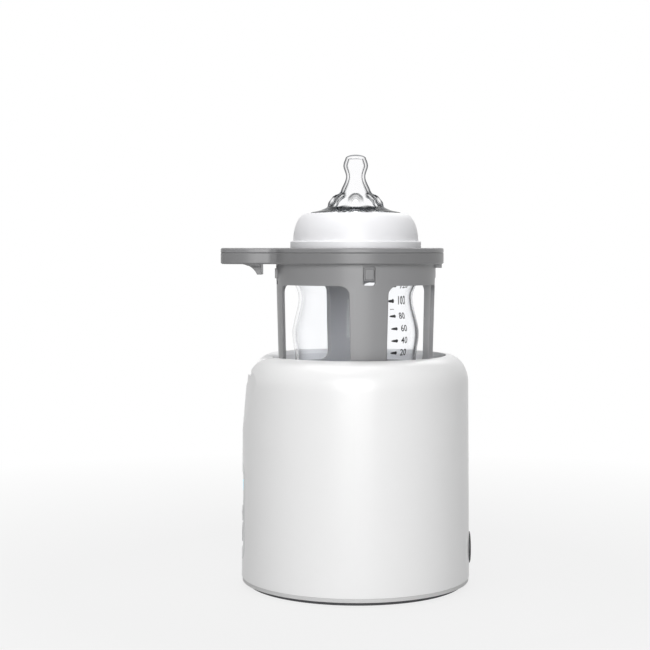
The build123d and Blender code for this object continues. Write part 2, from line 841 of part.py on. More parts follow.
cap_centre = line_fuse_length * 3 / 8
with BuildPart() as fuse_clips:
    for end in (-1, 1):
        with BuildSketch(Plane.XY.offset(board_top)):
            with Locations((line_fuse_x + end * cap_centre, line_fuse_y)):
                Rectangle(clip_width, 2 * (line_fuse_radius + clip_wall))
        extrude(amount=line_fuse_axis - board_top + line_fuse_radius / 2)
    with BuildSketch(Plane.YZ.offset(line_fuse_x - line_fuse_length)):
        with Locations((line_fuse_y, line_fuse_axis)):
            Circle(line_fuse_radius + screw_gap)
        with Locations((line_fuse_y, line_fuse_axis + line_fuse_radius)):
            Rectangle(line_fuse_radius * 1.7, 2 * line_fuse_radius)
    extrude(amount=2 * line_fuse_length, mode=Mode.SUBTRACT)
write_part(fuse_clips.part, "fuse_clips")

terminal_front = terminal_block_y + terminal_block_size[1] / 2
with BuildPart() as terminal_block:
    add(block_on_board(terminal_block_size, (0, terminal_block_y)))
    with BuildSketch(Plane.XZ.offset(-terminal_front)):
        with Locations((0, board_top + terminal_hole_height)):
            with GridLocations(terminal_hole_pitch, 0, 2, 1):
                Rectangle(terminal_hole_width, terminal_hole_height)
    extrude(amount=terminal_hole_depth, mode=Mode.SUBTRACT)
write_part(terminal_block.part, "terminal_block")

# ---------------------------------------------------------------- control panel
bezel_flange_outer = housing_wall + fit_gap
bezel_flange_inner = bezel_flange_outer + bezel_flange_thickness
face_width = panel_width - 2 * bezel_border
face_height = panel_height - 2 * bezel_border
face_corner = panel_corner_radius - bezel_border
face_back = panel_recess + panel_thickness
button_places = {
    "power_button": (0.0, power_button_height, power_button_radius),
    "plus_button": (step_button_spacing / 2, step_button_height, step_button_radius),
    "minus_button": (-step_button_spacing / 2, step_button_height, step_button_radius),
}

with BuildPart() as bezel_front:
    add(front_band(0, bezel_flange_inner))
    add(
        front_prism(
            panel_width - 2 * panel_gap,
            panel_height - 2 * panel_gap,
            panel_corner_radius - panel_gap,
            panel_centre,
        ),
        mode=Mode.INTERSECT,
    )

with BuildPart() as bezel_flange:
    add(front_band(bezel_flange_outer, bezel_flange_inner))
    add(
        front_prism(
            panel_width + 2 * bezel_flange_lap,
            panel_height + 2 * bezel_flange_lap,
            panel_corner_radius + bezel_flange_lap,
            panel_centre,
        ),
        mode=Mode.INTERSECT,
    )

with BuildPart() as face_seat:
    add(front_band(-panel_recess, face_back + screw_gap))
    add(front_prism(face_width, face_height, face_corner, panel_centre), mode=Mode.INTERSECT)

with BuildPart() as bezel_pillars:
    with BuildSketch(Plane.XZ.offset(control_board_front)):
        with Locations((0, panel_centre)):
            with GridLocations(2 * pillar_x, 2 * pillar_z, 2, 2):
                Circle(pillar_radius)
    extrude(amount=housing_radius)
    add(front_band(bezel_flange_inner - fit_gap, 3 * bezel_flange_inner), mode=Mode.INTERSECT)

with BuildPart() as panel_bezel:
    add(bezel_front.part)
    add(bezel_flange.part)
    add(bezel_pillars.part)
    add(face_seat.part, mode=Mode.SUBTRACT)
    add(
        front_prism(
            face_width - 2 * bezel_ledge,
            face_height - 2 * bezel_ledge,
            face_corner - bezel_ledge,
            panel_centre,
        ),
        mode=Mode.SUBTRACT,
    )
    with BuildSketch(Plane.XZ.offset(control_board_front)):
        with Locations((0, panel_centre)):
            with GridLocations(2 * pillar_x, 2 * pillar_z, 2, 2):
                Circle(panel_screw_radius + screw_gap)
    extrude(amount=bezel_flange_thickness * 2, mode=Mode.SUBTRACT)
write_part(panel_bezel.part, "panel_bezel")

with BuildPart() as control_panel:
    add(front_band(panel_recess, face_back))
    add(
        front_prism(
            face_width - 2 * panel_gap,
            face_height - 2 * panel_gap,
            face_corner - panel_gap,
            panel_centre,
        ),
        mode=Mode.INTERSECT,
    )
    add(front_prism(window_width, window_height, window_corner, window_centre), mode=Mode.SUBTRACT)
    with BuildSketch(Plane.XZ):
        for x, z, radius in button_places.values():
            with Locations((x, z)):
                Circle(radius + button_gap)
        with Locations((0, status_height)):
            Circle(status_radius + screw_gap)
    extrude(amount=2 * housing_radius, mode=Mode.SUBTRACT)
write_part(control_panel.part, "control_panel")

with BuildPart() as display_window:
    add(front_band(panel_recess + screw_gap, face_back))
    add(
        front_prism(
            window_width - 2 * fit_gap,
            window_height - 2 * fit_gap,
            window_corner - fit_gap,
            window_centre,
        ),
        mode=Mode.INTERSECT,
    )
write_part(display_window.part, "display_window")

with BuildPart() as status_lens:
    add(front_band(panel_recess - fit_gap, face_back))
    with BuildSketch(Plane.XZ):
        with Locations((0, status_height)):
            Circle(status_radius)
    extrude(amount=2 * housing_radius, mode=Mode.INTERSECT)
write_part(status_lens.part, "status_lens")

for label, (x, z, radius) in button_places.items():
    button_face = panel_recess - button_proud
    button_back = button_face + button_depth
    with BuildPart() as button_cap:
        with BuildSketch(Plane.XZ):
            with Locations((x, z)):
                Circle(radius)
        extrude(amount=2 * housing_radius)
        add(front_band(button_face, button_back), mode=Mode.INTERSECT)
    with BuildPart() as button_flange:
        with BuildSketch(Plane.XZ):
            with Locations((x, z)):
                Circle(radius + button_lip)
        extrude(amount=2 * housing_radius)
        add(front_band(face_back + fit_gap, button_back), mode=Mode.INTERSECT)
    with BuildPart() as button:
        add(button_cap.part)
        add(button_flange.part)
    write_part(button.part, label)

with BuildPart() as control_board:
    with BuildSketch(Plane.XZ.offset(control_board_front)):
        with Locations((0, panel_centre)):
            RectangleRounded(control_board_width, control_board_height, board_corner)
            with GridLocations(2 * pillar_x, 2 * pillar_z, 2, 2):
                Circle(panel_screw_radius + fit_gap, mode=Mode.SUBTRACT)
    extrude(amount=-board_thickness)
write_part(control_board.part, "control_board")

control_screw_planes = [
    Plane(
        origin=(x, panel_head_height + board_thickness - control_board_front, panel_centre + z),
        x_dir=(1, 0, 0),
        z_dir=(0, -1, 0),
    )
    for x in (-pillar_x, pillar_x)
    for z in (-pillar_z, pillar_z)
]
control_screw_shank = board_thickness + bezel_flange_thickness * 1.5
control_board_screws = screws(
    control_screw_planes, panel_head_radius, panel_head_height, panel_screw_radius, control_screw_shank
)
write_part(control_board_screws, "control_board_screws")


def behind_panel(height, half_width, inset):
    """Distance from the axis of a flat face that just clears the panel's curved back."""
    return sqrt(housing_radius_at(height, inset) ** 2 - half_width**2)


display_half_width = window_width / 2 + display_side_lap
display_half_height = window_height / 2 + display_end_lap
display_face = behind_panel(window_centre + display_half_height, display_half_width, face_back) - parts_gap
with BuildPart() as display_module:
    with BuildSketch(Plane.XZ.offset(control_board_front)):
        with Locations((0, window_centre)):
            Rectangle(2 * display_half_width, 2 * display_half_height)
    extrude(amount=display_face - control_board_front)
write_part(display_module.part, "display_module")

led_face = behind_panel(status_height, status_radius, face_back) - parts_gap
with BuildPart() as status_led:
    with BuildSketch(Plane.XZ.offset(control_board_front)):
        with Locations((0, status_height)):
            Rectangle(led_base_width, led_base_height)
    extrude(amount=led_base_thickness)
    with BuildSketch(Plane.XZ.offset(control_board_front)):
        with Locations((0, status_height)):
            Circle(status_radius)
    extrude(amount=led_face - control_board_front)
write_part(status_led.part, "status_led")

key_switch_group = []
for x, z, radius in button_places.values():
    plunger_reach = behind_panel(z + plunger_radius, abs(x) + plunger_radius, button_back)
    with BuildPart() as key_switch:
        with BuildSketch(Plane.XZ.offset(control_board_front)):
            with Locations((x, z)):
                RectangleRounded(2 * switch_body_half, 2 * switch_body_half, switch_body_corner)
        extrude(amount=switch_body_height)
        with BuildSketch(Plane.XZ.offset(control_board_front)):
            with Locations((x, z)):
                Circle(plunger_radius)
        extrude(amount=plunger_reach - button_travel - fit_gap - control_board_front)
    key_switch_group.append(key_switch.part)
write_part(Compound(children=key_switch_group), "key_switches")

# ---------------------------------------------------------------- cord gland in the rear wall
gland_nut_corner = gland_nut_width / sqrt(3)
gland_wall_radius = housing_radius_at(gland_height + gland_nut_corner, housing_wall)
gland_nut_face = sqrt(gland_wall_radius**2 - gland_nut_corner**2)
with BuildPart() as cord_gland:
    with BuildSketch(gland_pad_plane):
        with Locations((0, gland_height)):
            Circle(gland_flange_radius)
    extrude(amount=-gland_flange_thickness)
    fillet(cord_gland.edges().group_by(Axis.Y)[-1], gland_edge)
    with BuildSketch(gland_pad_plane):
        with Locations((0, gland_height)):
            Circle(gland_body_radius)
    extrude(amount=gland_body_length)
    with BuildSketch(gland_pad_plane.offset(gland_body_length)):
        with Locations((0, gland_height)):
            Circle(gland_bore_radius)
    extrude(amount=-gland_body_length - gland_flange_thickness, mode=Mode.SUBTRACT)
write_part(cord_gland.part, "cord_gland")

with BuildPart() as gland_nut:
    with BuildSketch(Plane.XZ.offset(fit_gap - gland_nut_face)):
        with Locations((0, gland_height)):
            RegularPolygon(gland_nut_width / 2, 6, major_radius=False)
            Circle(gland_body_radius + screw_gap, mode=Mode.SUBTRACT)
    extrude(amount=gland_nut_thickness)
write_part(gland_nut.part, "gland_nut")

# ---------------------------------------------------------------- basket
basket_underside = flange_top - basket_depth
basket_inside_top = basket_top_radius - basket_wall
basket_inside_bottom = basket_bottom_radius - basket_wall
strut_angles = [strut_turn + 360 / strut_count * turn for turn in range(strut_count)]
window_angles = [angle + 180 / strut_count for angle in strut_angles]
window_half = basket_top_radius * sin(radians((360 / strut_count - strut_angle) / 2))
tongue_inner = basket_inside_top + fit_gap
tongue_outer = tongue_inner + tongue_thickness
tongue_foot = flange_top - tongue_drop
snap_slot_ceiling = flange_top - snap_slot_top
snap_slot_width = tongue_width + 2 * tongue_gap
handle_root = -sqrt(flange_radius**2 - handle_root_half**2)
handle_start = handle_root + handle_root_fillet


def radial_plane(angle):
    """Plane through the axis whose normal points outwards at an angle from +X, with +Z up."""
    turn = radians(angle)
    return Plane(origin=(0, 0, 0), x_dir=(-sin(turn), cos(turn), 0), z_dir=(cos(turn), sin(turn), 0))


def radial_block(angle, inner, outer, width, low, high):
    """Block from an inner to an outer distance along one radius."""
    with BuildPart() as block:
        with BuildSketch(radial_plane(angle).offset(inner)):
            with Locations((0, (low + high) / 2)):
                Rectangle(width, high - low)
        extrude(amount=outer - inner)
    return block.part


def flange_outline(height, thickness):
    """Flange ring with the handle, as one flat slab."""
    with BuildPart() as slab:
        with BuildSketch(Plane.XY.offset(height)) as outline:
            with BuildLine():
                Polyline(
                    (-handle_root_half, handle_start),
                    (-handle_root_half, -handle_waist),
                    (-handle_end_half, -handle_reach),
                    (handle_end_half, -handle_reach),
                    (handle_root_half, -handle_waist),
                    (handle_root_half, handle_start),
                    close=True,
                )
            make_face()
            waist = [corner for corner in outline.vertices() if abs(corner.Y + handle_waist) < fit_gap]
            fillet(waist, handle_waist_radius)
            fillet(outline.vertices().group_by(Axis.Y)[0], handle_corner)
            Circle(flange_radius)
            roots = [corner for corner in outline.vertices() if abs(corner.Y - handle_root) < fit_gap]
            fillet(roots, handle_root_fillet)
            Circle(basket_inside_top, mode=Mode.SUBTRACT)
        extrude(amount=thickness)
    return slab.part


hook_foot = flange_bottom - hook_drop
hook_start = (-hook_back - hook_tip, hook_foot)
hook_run = sqrt(hook_curve_radius**2 - (hook_curve_radius - hook_drop) ** 2)
hook_end = (hook_start[0] - hook_run, flange_bottom)
key_root = basket_top_radius - basket_wall / 2
window_low = basket_underside + window_foot
window_high = flange_top - window_drop
with BuildPart() as basket_frame:
    add(flange_outline(flange_bottom, flange_height - cover_thickness))
    chamfer(basket_frame.faces().sort_by(Axis.Z)[-1].outer_wire().edges(), parting_edge)
    chamfer(basket_frame.faces().sort_by(Axis.Z)[0].outer_wire().edges(), 2 * parting_edge)
    with BuildSketch(Plane.XZ):
        with BuildLine():
            Polyline(
                (0, basket_underside),
                (basket_bottom_radius, basket_underside),
                (basket_top_radius, flange_bottom),
                (basket_top_radius, flange_bottom + basket_wall),
                (basket_inside_top, flange_bottom + basket_wall),
                (basket_inside_top, flange_bottom),
                (basket_inside_bottom, basket_floor_top),
                (0, basket_floor_top),
                close=True,
            )
        make_face()
    revolve(axis=Axis.Z)
    # finger hook under the handle
    with BuildSketch(Plane.YZ.offset(-hook_half_width)):
        with BuildLine():
            RadiusArc(hook_start, hook_end, -hook_curve_radius)
            Polyline(
                hook_end,
                (hook_end[0], flange_bottom + basket_wall),
                (-hook_back, flange_bottom + basket_wall),
                (-hook_back, hook_foot),
                hook_start,
            )
        make_face()
    extrude(amount=2 * hook_half_width)
    # key under the rear of the flange
    with BuildSketch(Plane.XY.offset(flange_bottom - key_drop)):
        with Locations((0, (key_root + key_reach) / 2)):
            Rectangle(2 * key_half_width, key_reach - key_root)
    extrude(amount=key_drop + basket_wall)
    for angle in window_angles:
        with BuildSketch(radial_plane(angle)):
            with Locations((0, (window_low + window_high) / 2)):
                RectangleRounded(2 * window_half, window_high - window_low, window_radius)
        extrude(amount=flange_radius, mode=Mode.SUBTRACT)
    for angle in strut_angles:
        add(
            radial_block(
                angle,
                basket_inside_top - 2 * tongue_thickness,
                tongue_outer + tongue_gap,
                snap_slot_width,
                tongue_foot - tongue_gap,
                flange_top,
            ),
            mode=Mode.SUBTRACT,
        )
        with BuildSketch(radial_plane(angle).offset(basket_inside_bottom)):
            with Locations((0, snap_slot_ceiling - snap_slot_height / 2)):
                RectangleRounded(snap_slot_width, snap_slot_height, snap_slot_corner)
        extrude(amount=flange_radius, mode=Mode.SUBTRACT)
    with BuildSketch(Plane.XY.offset(basket_underside)):
        with PolarLocations(drain_circle, drain_count):
            SlotOverall(drain_length, drain_width)
        with PolarLocations(0, 2):
            SlotOverall(drain_length, drain_width)
    extrude(amount=basket_floor_thickness, mode=Mode.SUBTRACT)
write_part(basket_frame.part, "basket_frame")

with BuildPart() as rim_cover:
    add(flange_outline(cover_bottom, cover_thickness))
    fillet(rim_cover.faces().sort_by(Axis.Z)[-1].outer_wire().edges(), cover_edge)
    chamfer(rim_cover.faces().sort_by(Axis.Z)[0].outer_wire().edges(), parting_edge)
    for angle in strut_angles:
        add(
            radial_block(
                angle, tongue_inner, tongue_outer, tongue_width, tongue_foot, cover_bottom + tongue_thickness
            )
        )
        add(
            radial_block(
                angle,
                tongue_outer - tongue_gap,
                tongue_outer + tongue_barb,
                tongue_width - snap_slot_corner,
                tongue_foot + barb_lead,
                tongue_foot + barb_lead + barb_height,
            )
        )
write_part(rim_cover.part, "rim_cover")


# ---------------------------------------------------------------- bottle, screw ring and teat
def bottle_form(inset, top):
    """Solid of revolution of the bottle, moved inwards by an inset."""
    base = bottle_base + inset
    shoulder_rise = bottle_shoulder_rise - inset
    shoulder = bottle_base + bottle_shoulder_height
    corner = bottle_corner_radius - inset
    base_radius = bottle_base_radius - inset
    neck_radius = bottle_neck_radius - inset
    with BuildPart() as form:
        with BuildSketch(Plane.XZ):
            with BuildLine():
                Line((0, base), (base_radius - corner, base))
                EllipticalCenterArc(
                    (base_radius - corner, base + corner), corner, corner, start_angle=270, arc_size=90
                )
                Spline(
                    (base_radius, base + corner),
                    (bottle_belly_radius - inset, bottle_base + bottle_belly_height),
                    (bottle_waist_radius - inset, bottle_base + bottle_waist_height),
                    (bottle_shoulder_radius - inset, shoulder),
                    tangents=[(0, 1), (0, 1)],
                )
                EllipticalCenterArc(
                    (neck_radius, shoulder),
                    bottle_shoulder_radius - bottle_neck_radius,
                    shoulder_rise,
                    start_angle=0,
                    arc_size=90,
                )
                Polyline((neck_radius, shoulder + shoulder_rise), (neck_radius, top), (0, top), (0, base))
            make_face()
        revolve(axis=Axis.Z)
    return form.part


first_land = bottle_base + bottle_shoulder_height + first_land_rise
with BuildPart() as bottle_shell:
    add(bottle_form(0, bottle_top))
    for turn in range(thread_lands):
        height = first_land + turn * thread_pitch
        with BuildSketch(Plane.XZ):
            with BuildLine():
                Polyline(
                    (bottle_neck_radius - land_root, height - thread_width / 2 - thread_flare),
                    (bottle_neck_radius + thread_height, height - thread_width / 4),
                    (bottle_neck_radius + thread_height, height + thread_width / 4),
                    (bottle_neck_radius - land_root, height + thread_width / 2 + thread_flare),
                    close=True,
                )
            make_face()
        revolve(axis=Axis.Z)
    add(bottle_form(bottle_wall, bottle_top + bottle_wall), mode=Mode.SUBTRACT)
write_part(bottle_shell.part, "bottle_shell")

ring_skirt_top = ring_bottom + ring_skirt_height
dome_width = ring_radius - ring_step - ring_top_radius
dome_height = ring_top - ring_skirt_top
ring_inside = ring_radius - ring_wall
clamp_face = bottle_top + teat_flange_thickness
inner_dome_sweep = degrees(asin((clamp_face - ring_skirt_top) / (dome_height - ring_wall)))
with BuildPart() as screw_ring:
    with BuildSketch(Plane.XZ):
        with BuildLine():
            Polyline(
                (0, ring_top),
                (0, ring_bottom),
                (ring_radius, ring_bottom),
                (ring_radius, ring_skirt_top - ring_edge),
                (ring_radius - ring_edge, ring_skirt_top),
                (ring_top_radius + dome_width, ring_skirt_top),
            )
            EllipticalCenterArc(
                (ring_top_radius, ring_skirt_top), dome_width, dome_height, start_angle=0, arc_size=90
            )
            Line((ring_top_radius, ring_top), (0, ring_top))
        make_face()
    revolve(axis=Axis.Z)
    with BuildSketch(Plane.XZ):
        with BuildLine():
            Polyline(
                (0, clamp_face),
                (0, ring_bottom - ring_wall),
                (ring_inside, ring_bottom - ring_wall),
                (ring_inside, ring_skirt_top - ring_wall),
                (ring_top_radius + dome_width - ring_wall, ring_skirt_top),
            )
            inner_dome = EllipticalCenterArc(
                (ring_top_radius, ring_skirt_top),
                dome_width - ring_wall,
                dome_height - ring_wall,
                start_angle=0,
                arc_size=inner_dome_sweep,
            )
            Line(inner_dome @ 1, (0, clamp_face))
        make_face()
    revolve(axis=Axis.Z, mode=Mode.SUBTRACT)
    with BuildSketch(Plane.XY.offset(ring_bottom)):
        Circle(ring_hole_radius)
    extrude(amount=ring_height, mode=Mode.SUBTRACT)
    for turn in range(thread_lands - 1):
        height = first_land + (turn + 0.5) * thread_pitch
        land_tip = bottle_neck_radius + thread_height + thread_gap
        with BuildSketch(Plane.XZ):
            with BuildLine():
                Polyline(
                    (ring_inside + land_root, height - thread_width / 2 - thread_flare),
                    (land_tip, height - thread_width / 4),
                    (land_tip, height + thread_width / 4),
                    (ring_inside + land_root, height + thread_width / 2 + thread_flare),
                    close=True,
                )
            make_face()
        revolve(axis=Axis.Z)
write_part(screw_ring.part, "screw_ring")

# outline of the teat above the ring's top: radius and height
teat_outline = [
    (teat_base_radius, 0.4),
    (17.2, 2.0),
    (13.0, 4.4),
    (8.5, 10.2),
    (7.1, 13.0),
    (4.95, 18.6),
    (6.35, 24.2),
    (5.3, teat_height - 1.8),
]


def teat_form(inset, foot):
    """Solid of revolution of the teat, moved inwards by an inset measured square to its outline."""
    points = []
    for index, (radius, height) in enumerate(teat_outline):
        before = teat_outline[max(index - 1, 0)]
        after = teat_outline[min(index + 1, len(teat_outline) - 1)]
        run = after[0] - before[0]
        rise = after[1] - before[1]
        length = sqrt(run**2 + rise**2)
        points.append((radius - inset * rise / length, ring_top + height + inset * run / length))
    points[0] = (teat_base_radius - inset, points[0][1])
    tip_radius, tip_height = points[-1]
    crown = ring_top + teat_height - inset
    with BuildPart() as form:
        with BuildSketch(Plane.XZ):
            with BuildLine():
                Polyline((0, crown), (0, foot), (teat_base_radius - inset, foot), points[0])
                Spline(*points)
                Bezier(points[-1], (tip_radius, crown), (0, crown))
            make_face()
        revolve(axis=Axis.Z)
    return form.part


with BuildPart() as teat:
    add(teat_form(0, bottle_top))
    with BuildSketch(Plane.XY.offset(bottle_top)):
        Circle(teat_flange_radius)
    extrude(amount=teat_flange_thickness)
    add(teat_form(teat_wall, bottle_top - teat_wall), mode=Mode.SUBTRACT)
write_part(teat.part, "teat")
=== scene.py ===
"""Bottle warmer with its basket, bottle and teat: finishes, clear pieces, markings and studio."""

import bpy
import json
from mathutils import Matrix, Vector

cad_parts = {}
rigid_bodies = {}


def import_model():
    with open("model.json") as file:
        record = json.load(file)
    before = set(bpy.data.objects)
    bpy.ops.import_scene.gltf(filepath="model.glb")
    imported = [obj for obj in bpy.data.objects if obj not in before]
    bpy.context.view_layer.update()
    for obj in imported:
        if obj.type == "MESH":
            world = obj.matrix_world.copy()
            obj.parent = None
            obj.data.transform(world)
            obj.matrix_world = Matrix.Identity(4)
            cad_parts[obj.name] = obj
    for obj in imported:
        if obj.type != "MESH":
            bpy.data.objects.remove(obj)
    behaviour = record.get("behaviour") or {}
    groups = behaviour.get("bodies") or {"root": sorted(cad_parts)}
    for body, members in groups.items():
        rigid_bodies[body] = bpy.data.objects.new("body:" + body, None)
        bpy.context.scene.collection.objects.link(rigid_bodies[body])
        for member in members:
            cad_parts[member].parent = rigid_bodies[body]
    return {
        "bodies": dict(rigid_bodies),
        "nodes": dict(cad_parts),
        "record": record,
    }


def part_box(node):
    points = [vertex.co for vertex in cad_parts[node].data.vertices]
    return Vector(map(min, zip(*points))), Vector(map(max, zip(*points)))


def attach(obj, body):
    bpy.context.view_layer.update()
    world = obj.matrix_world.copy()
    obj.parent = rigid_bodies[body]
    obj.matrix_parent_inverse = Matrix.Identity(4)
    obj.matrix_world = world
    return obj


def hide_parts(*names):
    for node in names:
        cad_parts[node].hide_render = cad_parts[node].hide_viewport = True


bl_info = {
    "name": "Bottle warmer",
    "version": (1, 0, 0),
    "blender": (4, 5, 0),
    "location": "View3D > Sidebar > Bottle warmer",
    "description": "Finishes a bottle warmer, models its clear pieces and sets up a studio",
    "category": "Object",
}

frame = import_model()

import json
import math

import bpy
from mathutils import Vector

OWN = set(frame["nodes"].values()) | set(frame["bodies"].values())
for leftover in [item for item in bpy.data.objects if item not in OWN]:
    bpy.data.objects.remove(leftover)
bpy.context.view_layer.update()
MM = 0.001
AXIS_UP = Vector((0, 0, 1))

BOTTLE_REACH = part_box("bottle_shell")[1].x
RING_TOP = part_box("screw_ring")[1].z
TEAT_LOW, TEAT_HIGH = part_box("teat")
TEAT_FOOT_RADIUS = 23.7 * MM
TEAT_FLANGE_RADIUS = 26.3 * MM
TEAT_WALL = 1.5 * MM
JOINTS = {joint["name"]: joint for joint in frame["record"]["behaviour"]["joints"]}
FLANGE_FOOT = JOINTS["basket_lift"]["pos_m"][2]
SLOT_OF_NODE = {part["node"]: part["material_slot"] for part in frame["record"]["subparts"]}

# volume in millilitres, and height above the table in millimetres, of each mark on the bottle
SCALE_MARKS = ((120, 153.5), (100, 146.6), (80, 139.3), (60, 132.7), (40, 126.6), (20, 120.4))
SCALE_TICK_HEIGHT = 142.9 * MM
SCALE_TICK_LEAD = math.radians(4)
INK_LIFT = 0.15 * MM
INK_THICKNESS = 0.06 * MM
FONT_PER_FIGURE = 1.38          # font size over the height of its figures
SIGN_SIZE = 6.0 * MM
DIGIT_SIZE = 9.0 * MM
WORD_THICKNESS = 0.03 * MM
WORD_LIFT = 0.02 * MM
POWER_RING_RADIUS = 1.9 * MM
POWER_LINE_RADIUS = 0.24 * MM
FLOOR_SIZE = 30.0


# ---------------------------------------------------------------- sizes and colours
class WarmerFinishes(bpy.types.PropertyGroup):
    """Colours of the moulded pieces."""

    housing: bpy.props.FloatVectorProperty(
        name="Housing", description="Gloss white of the outer housing", default=(0.86, 0.86, 0.86),
        size=3, subtype="COLOR", min=0, max=1)
    basket: bpy.props.FloatVectorProperty(
        name="Basket", description="Satin grey of the basket's frame", default=(0.27, 0.27, 0.275),
        size=3, subtype="COLOR", min=0, max=1)
    # This grey is partly the cover's own and partly painted shade: it was darkened by about the share that
    # the basket's flange keeps.
    cover: bpy.props.FloatVectorProperty(
        name="Rim cover", description="Satin grey of the flange's upper layer", default=(0.22, 0.22, 0.225),
        size=3, subtype="COLOR", min=0, max=1)
    # Painted shade: the flange keeps only this share of the basket's grey, standing in for the shade on it.
    flange_shade: bpy.props.FloatProperty(
        name="Painted flange shade", description="Share of the basket's grey that its flange keeps", default=0.72,
        min=0, max=1, subtype="FACTOR")
    tank: bpy.props.FloatVectorProperty(
        name="Tank", description="Pale grey of the water tank", default=(0.74, 0.74, 0.75),
        size=3, subtype="COLOR", min=0, max=1)
    ring: bpy.props.FloatVectorProperty(
        name="Screw ring", description="White of the bottle's screw ring", default=(0.88, 0.88, 0.90),
        size=3, subtype="COLOR", min=0, max=1)
    # Lightening of the edges: partly worn by use, partly a painted highlight.
    edge_wear: bpy.props.FloatProperty(
        name="Edge wear", description="How far use has lightened the edges", default=0.35, min=0, max=1,
        subtype="FACTOR")


class WarmerStudio(bpy.types.PropertyGroup):
    """Camera and lamps."""

    camera_distance: bpy.props.FloatProperty(
        name="Camera distance", description="From the chamber's axis to the camera", default=0.782,
        unit="LENGTH", min=0.3)
    camera_height: bpy.props.FloatProperty(
        name="Camera height", description="Height of the camera above the table", default=0.173,
        unit="LENGTH", min=0)
    camera_pitch: bpy.props.FloatProperty(
        name="Camera pitch", description="How far the camera looks down", default=math.radians(2.91),
        subtype="ANGLE")
    camera_yaw: bpy.props.FloatProperty(
        name="Camera yaw", description="How far the camera turns towards the handle",
        default=math.radians(1.155), subtype="ANGLE")
    lens: bpy.props.FloatProperty(
        name="Lens", description="Focal length on a 36 mm sensor, in millimetres", default=84.0, min=10,
        unit="CAMERA")
    key_power: bpy.props.FloatProperty(
        name="Key lamp", description="Power of the large lamp behind the camera", default=16.2, min=0,
        unit="POWER")
    back_power: bpy.props.FloatProperty(
        name="Back lamp", description="Power of the lamp behind the object", default=5.0, min=0,
        unit="POWER")
    top_power: bpy.props.FloatProperty(
        name="Top lamp", description="Power of the lamp above the object", default=8.0, min=0,
        unit="POWER")
    ambient: bpy.props.FloatProperty(
        name="Room light", description="Even light from all round", default=0.07, min=0, max=2)
    floor_lift: bpy.props.FloatProperty(
        name="Floor lift", description="Share of plain white in what the camera sees of the floor",
        default=0.80, min=0, max=1, subtype="FACTOR")


class WarmerBottle(bpy.types.PropertyGroup):
    """Bottle, teat and volume scale."""

    petal_count: bpy.props.IntProperty(
        name="Teat petals", description="Soft pads round the foot of the teat", default=8, min=3, max=16)
    petal_swell: bpy.props.FloatProperty(
        name="Petal swell", description="How far the pads stand out", default=0.15, min=0, max=0.4,
        subtype="FACTOR")
    number_height: bpy.props.FloatProperty(
        name="Number height", description="Height of the volume numbers", default=3.4 * MM, unit="LENGTH")
    scale_angle: bpy.props.FloatProperty(
        name="Scale angle", description="Where the scale's pointers stand round the bottle",
        default=math.radians(39), subtype="ANGLE")
    number_lead: bpy.props.FloatProperty(
        name="Number lead", description="From the pointers to the start of the numbers",
        default=math.radians(5.5), subtype="ANGLE")


# ---------------------------------------------------------------- mesh helpers
def deselect_everything():
    """Leaves edit mode and deselects every object."""
    if bpy.context.object and bpy.context.object.mode != "OBJECT":
        bpy.ops.object.mode_set(mode="OBJECT")
    bpy.ops.object.select_all(action="DESELECT")


def finish_piece(piece, name, body, material, smooth_angle=math.radians(40)):
    """Names a piece, bakes its place into its mesh, shades it, gives it a finish and sets it riding."""
    deselect_everything()
    piece.select_set(True)
    bpy.context.view_layer.objects.active = piece
    bpy.ops.object.transform_apply(location=True, rotation=True, scale=True)
    bpy.ops.object.shade_smooth_by_angle(angle=smooth_angle)
    piece.name = name
    piece.data.name = name
    piece.data.materials.clear()
    piece.data.materials.append(material)
    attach(piece, body)


def apply_modifiers(piece):
    """Applies a piece's modifiers in their order."""
    deselect_everything()
    piece.select_set(True)
    bpy.context.view_layer.objects.active = piece
    for modifier in list(piece.modifiers):
        bpy.ops.object.modifier_apply(modifier=modifier.name)


def add_modifier(piece, kind, **values):
    """Gives a piece a modifier with the named settings."""
    modifier = piece.modifiers.new(kind.title(), kind)
    for key, value in values.items():
        setattr(modifier, key, value)


def stack_of_rings(outline, segments):
    """A turned skin, open below and closed above, from rings extruded and scaled along an outline.

    The outline is radius and height in metres, from the foot to the top.
    """
    deselect_everything()
    radius, height = outline[0]
    bpy.ops.mesh.primitive_circle_add(vertices=segments, radius=radius, location=(0, 0, height))
    piece = bpy.context.object
    bpy.ops.object.transform_apply(location=True, rotation=False, scale=False)
    bpy.ops.object.mode_set(mode="EDIT")
    bpy.ops.mesh.select_mode(type="EDGE")
    for next_radius, next_height in outline[1:]:
        bpy.ops.mesh.extrude_edges_move(
            TRANSFORM_OT_translate={"value": (0, 0, next_height - height)})
        bpy.ops.transform.resize(
            value=(next_radius / radius, next_radius / radius, 1), center_override=(0, 0, next_height))
        radius, height = next_radius, next_height
    bpy.ops.mesh.edge_face_add()
    bpy.ops.mesh.poke()
    bpy.ops.mesh.select_all(action="SELECT")
    bpy.ops.mesh.normals_make_consistent(inside=False)
    bpy.ops.object.mode_set(mode="OBJECT")
    return piece


def select_vertices(piece, test):
    """Selects, in edit mode, the vertices that pass a test of their place."""
    bpy.ops.object.mode_set(mode="EDIT")
    bpy.ops.mesh.select_mode(type="VERT")
    bpy.ops.mesh.select_all(action="DESELECT")
    bpy.ops.object.mode_set(mode="OBJECT")
    for vertex in piece.data.vertices:
        vertex.select = test(vertex.co)
    bpy.ops.object.mode_set(mode="EDIT")


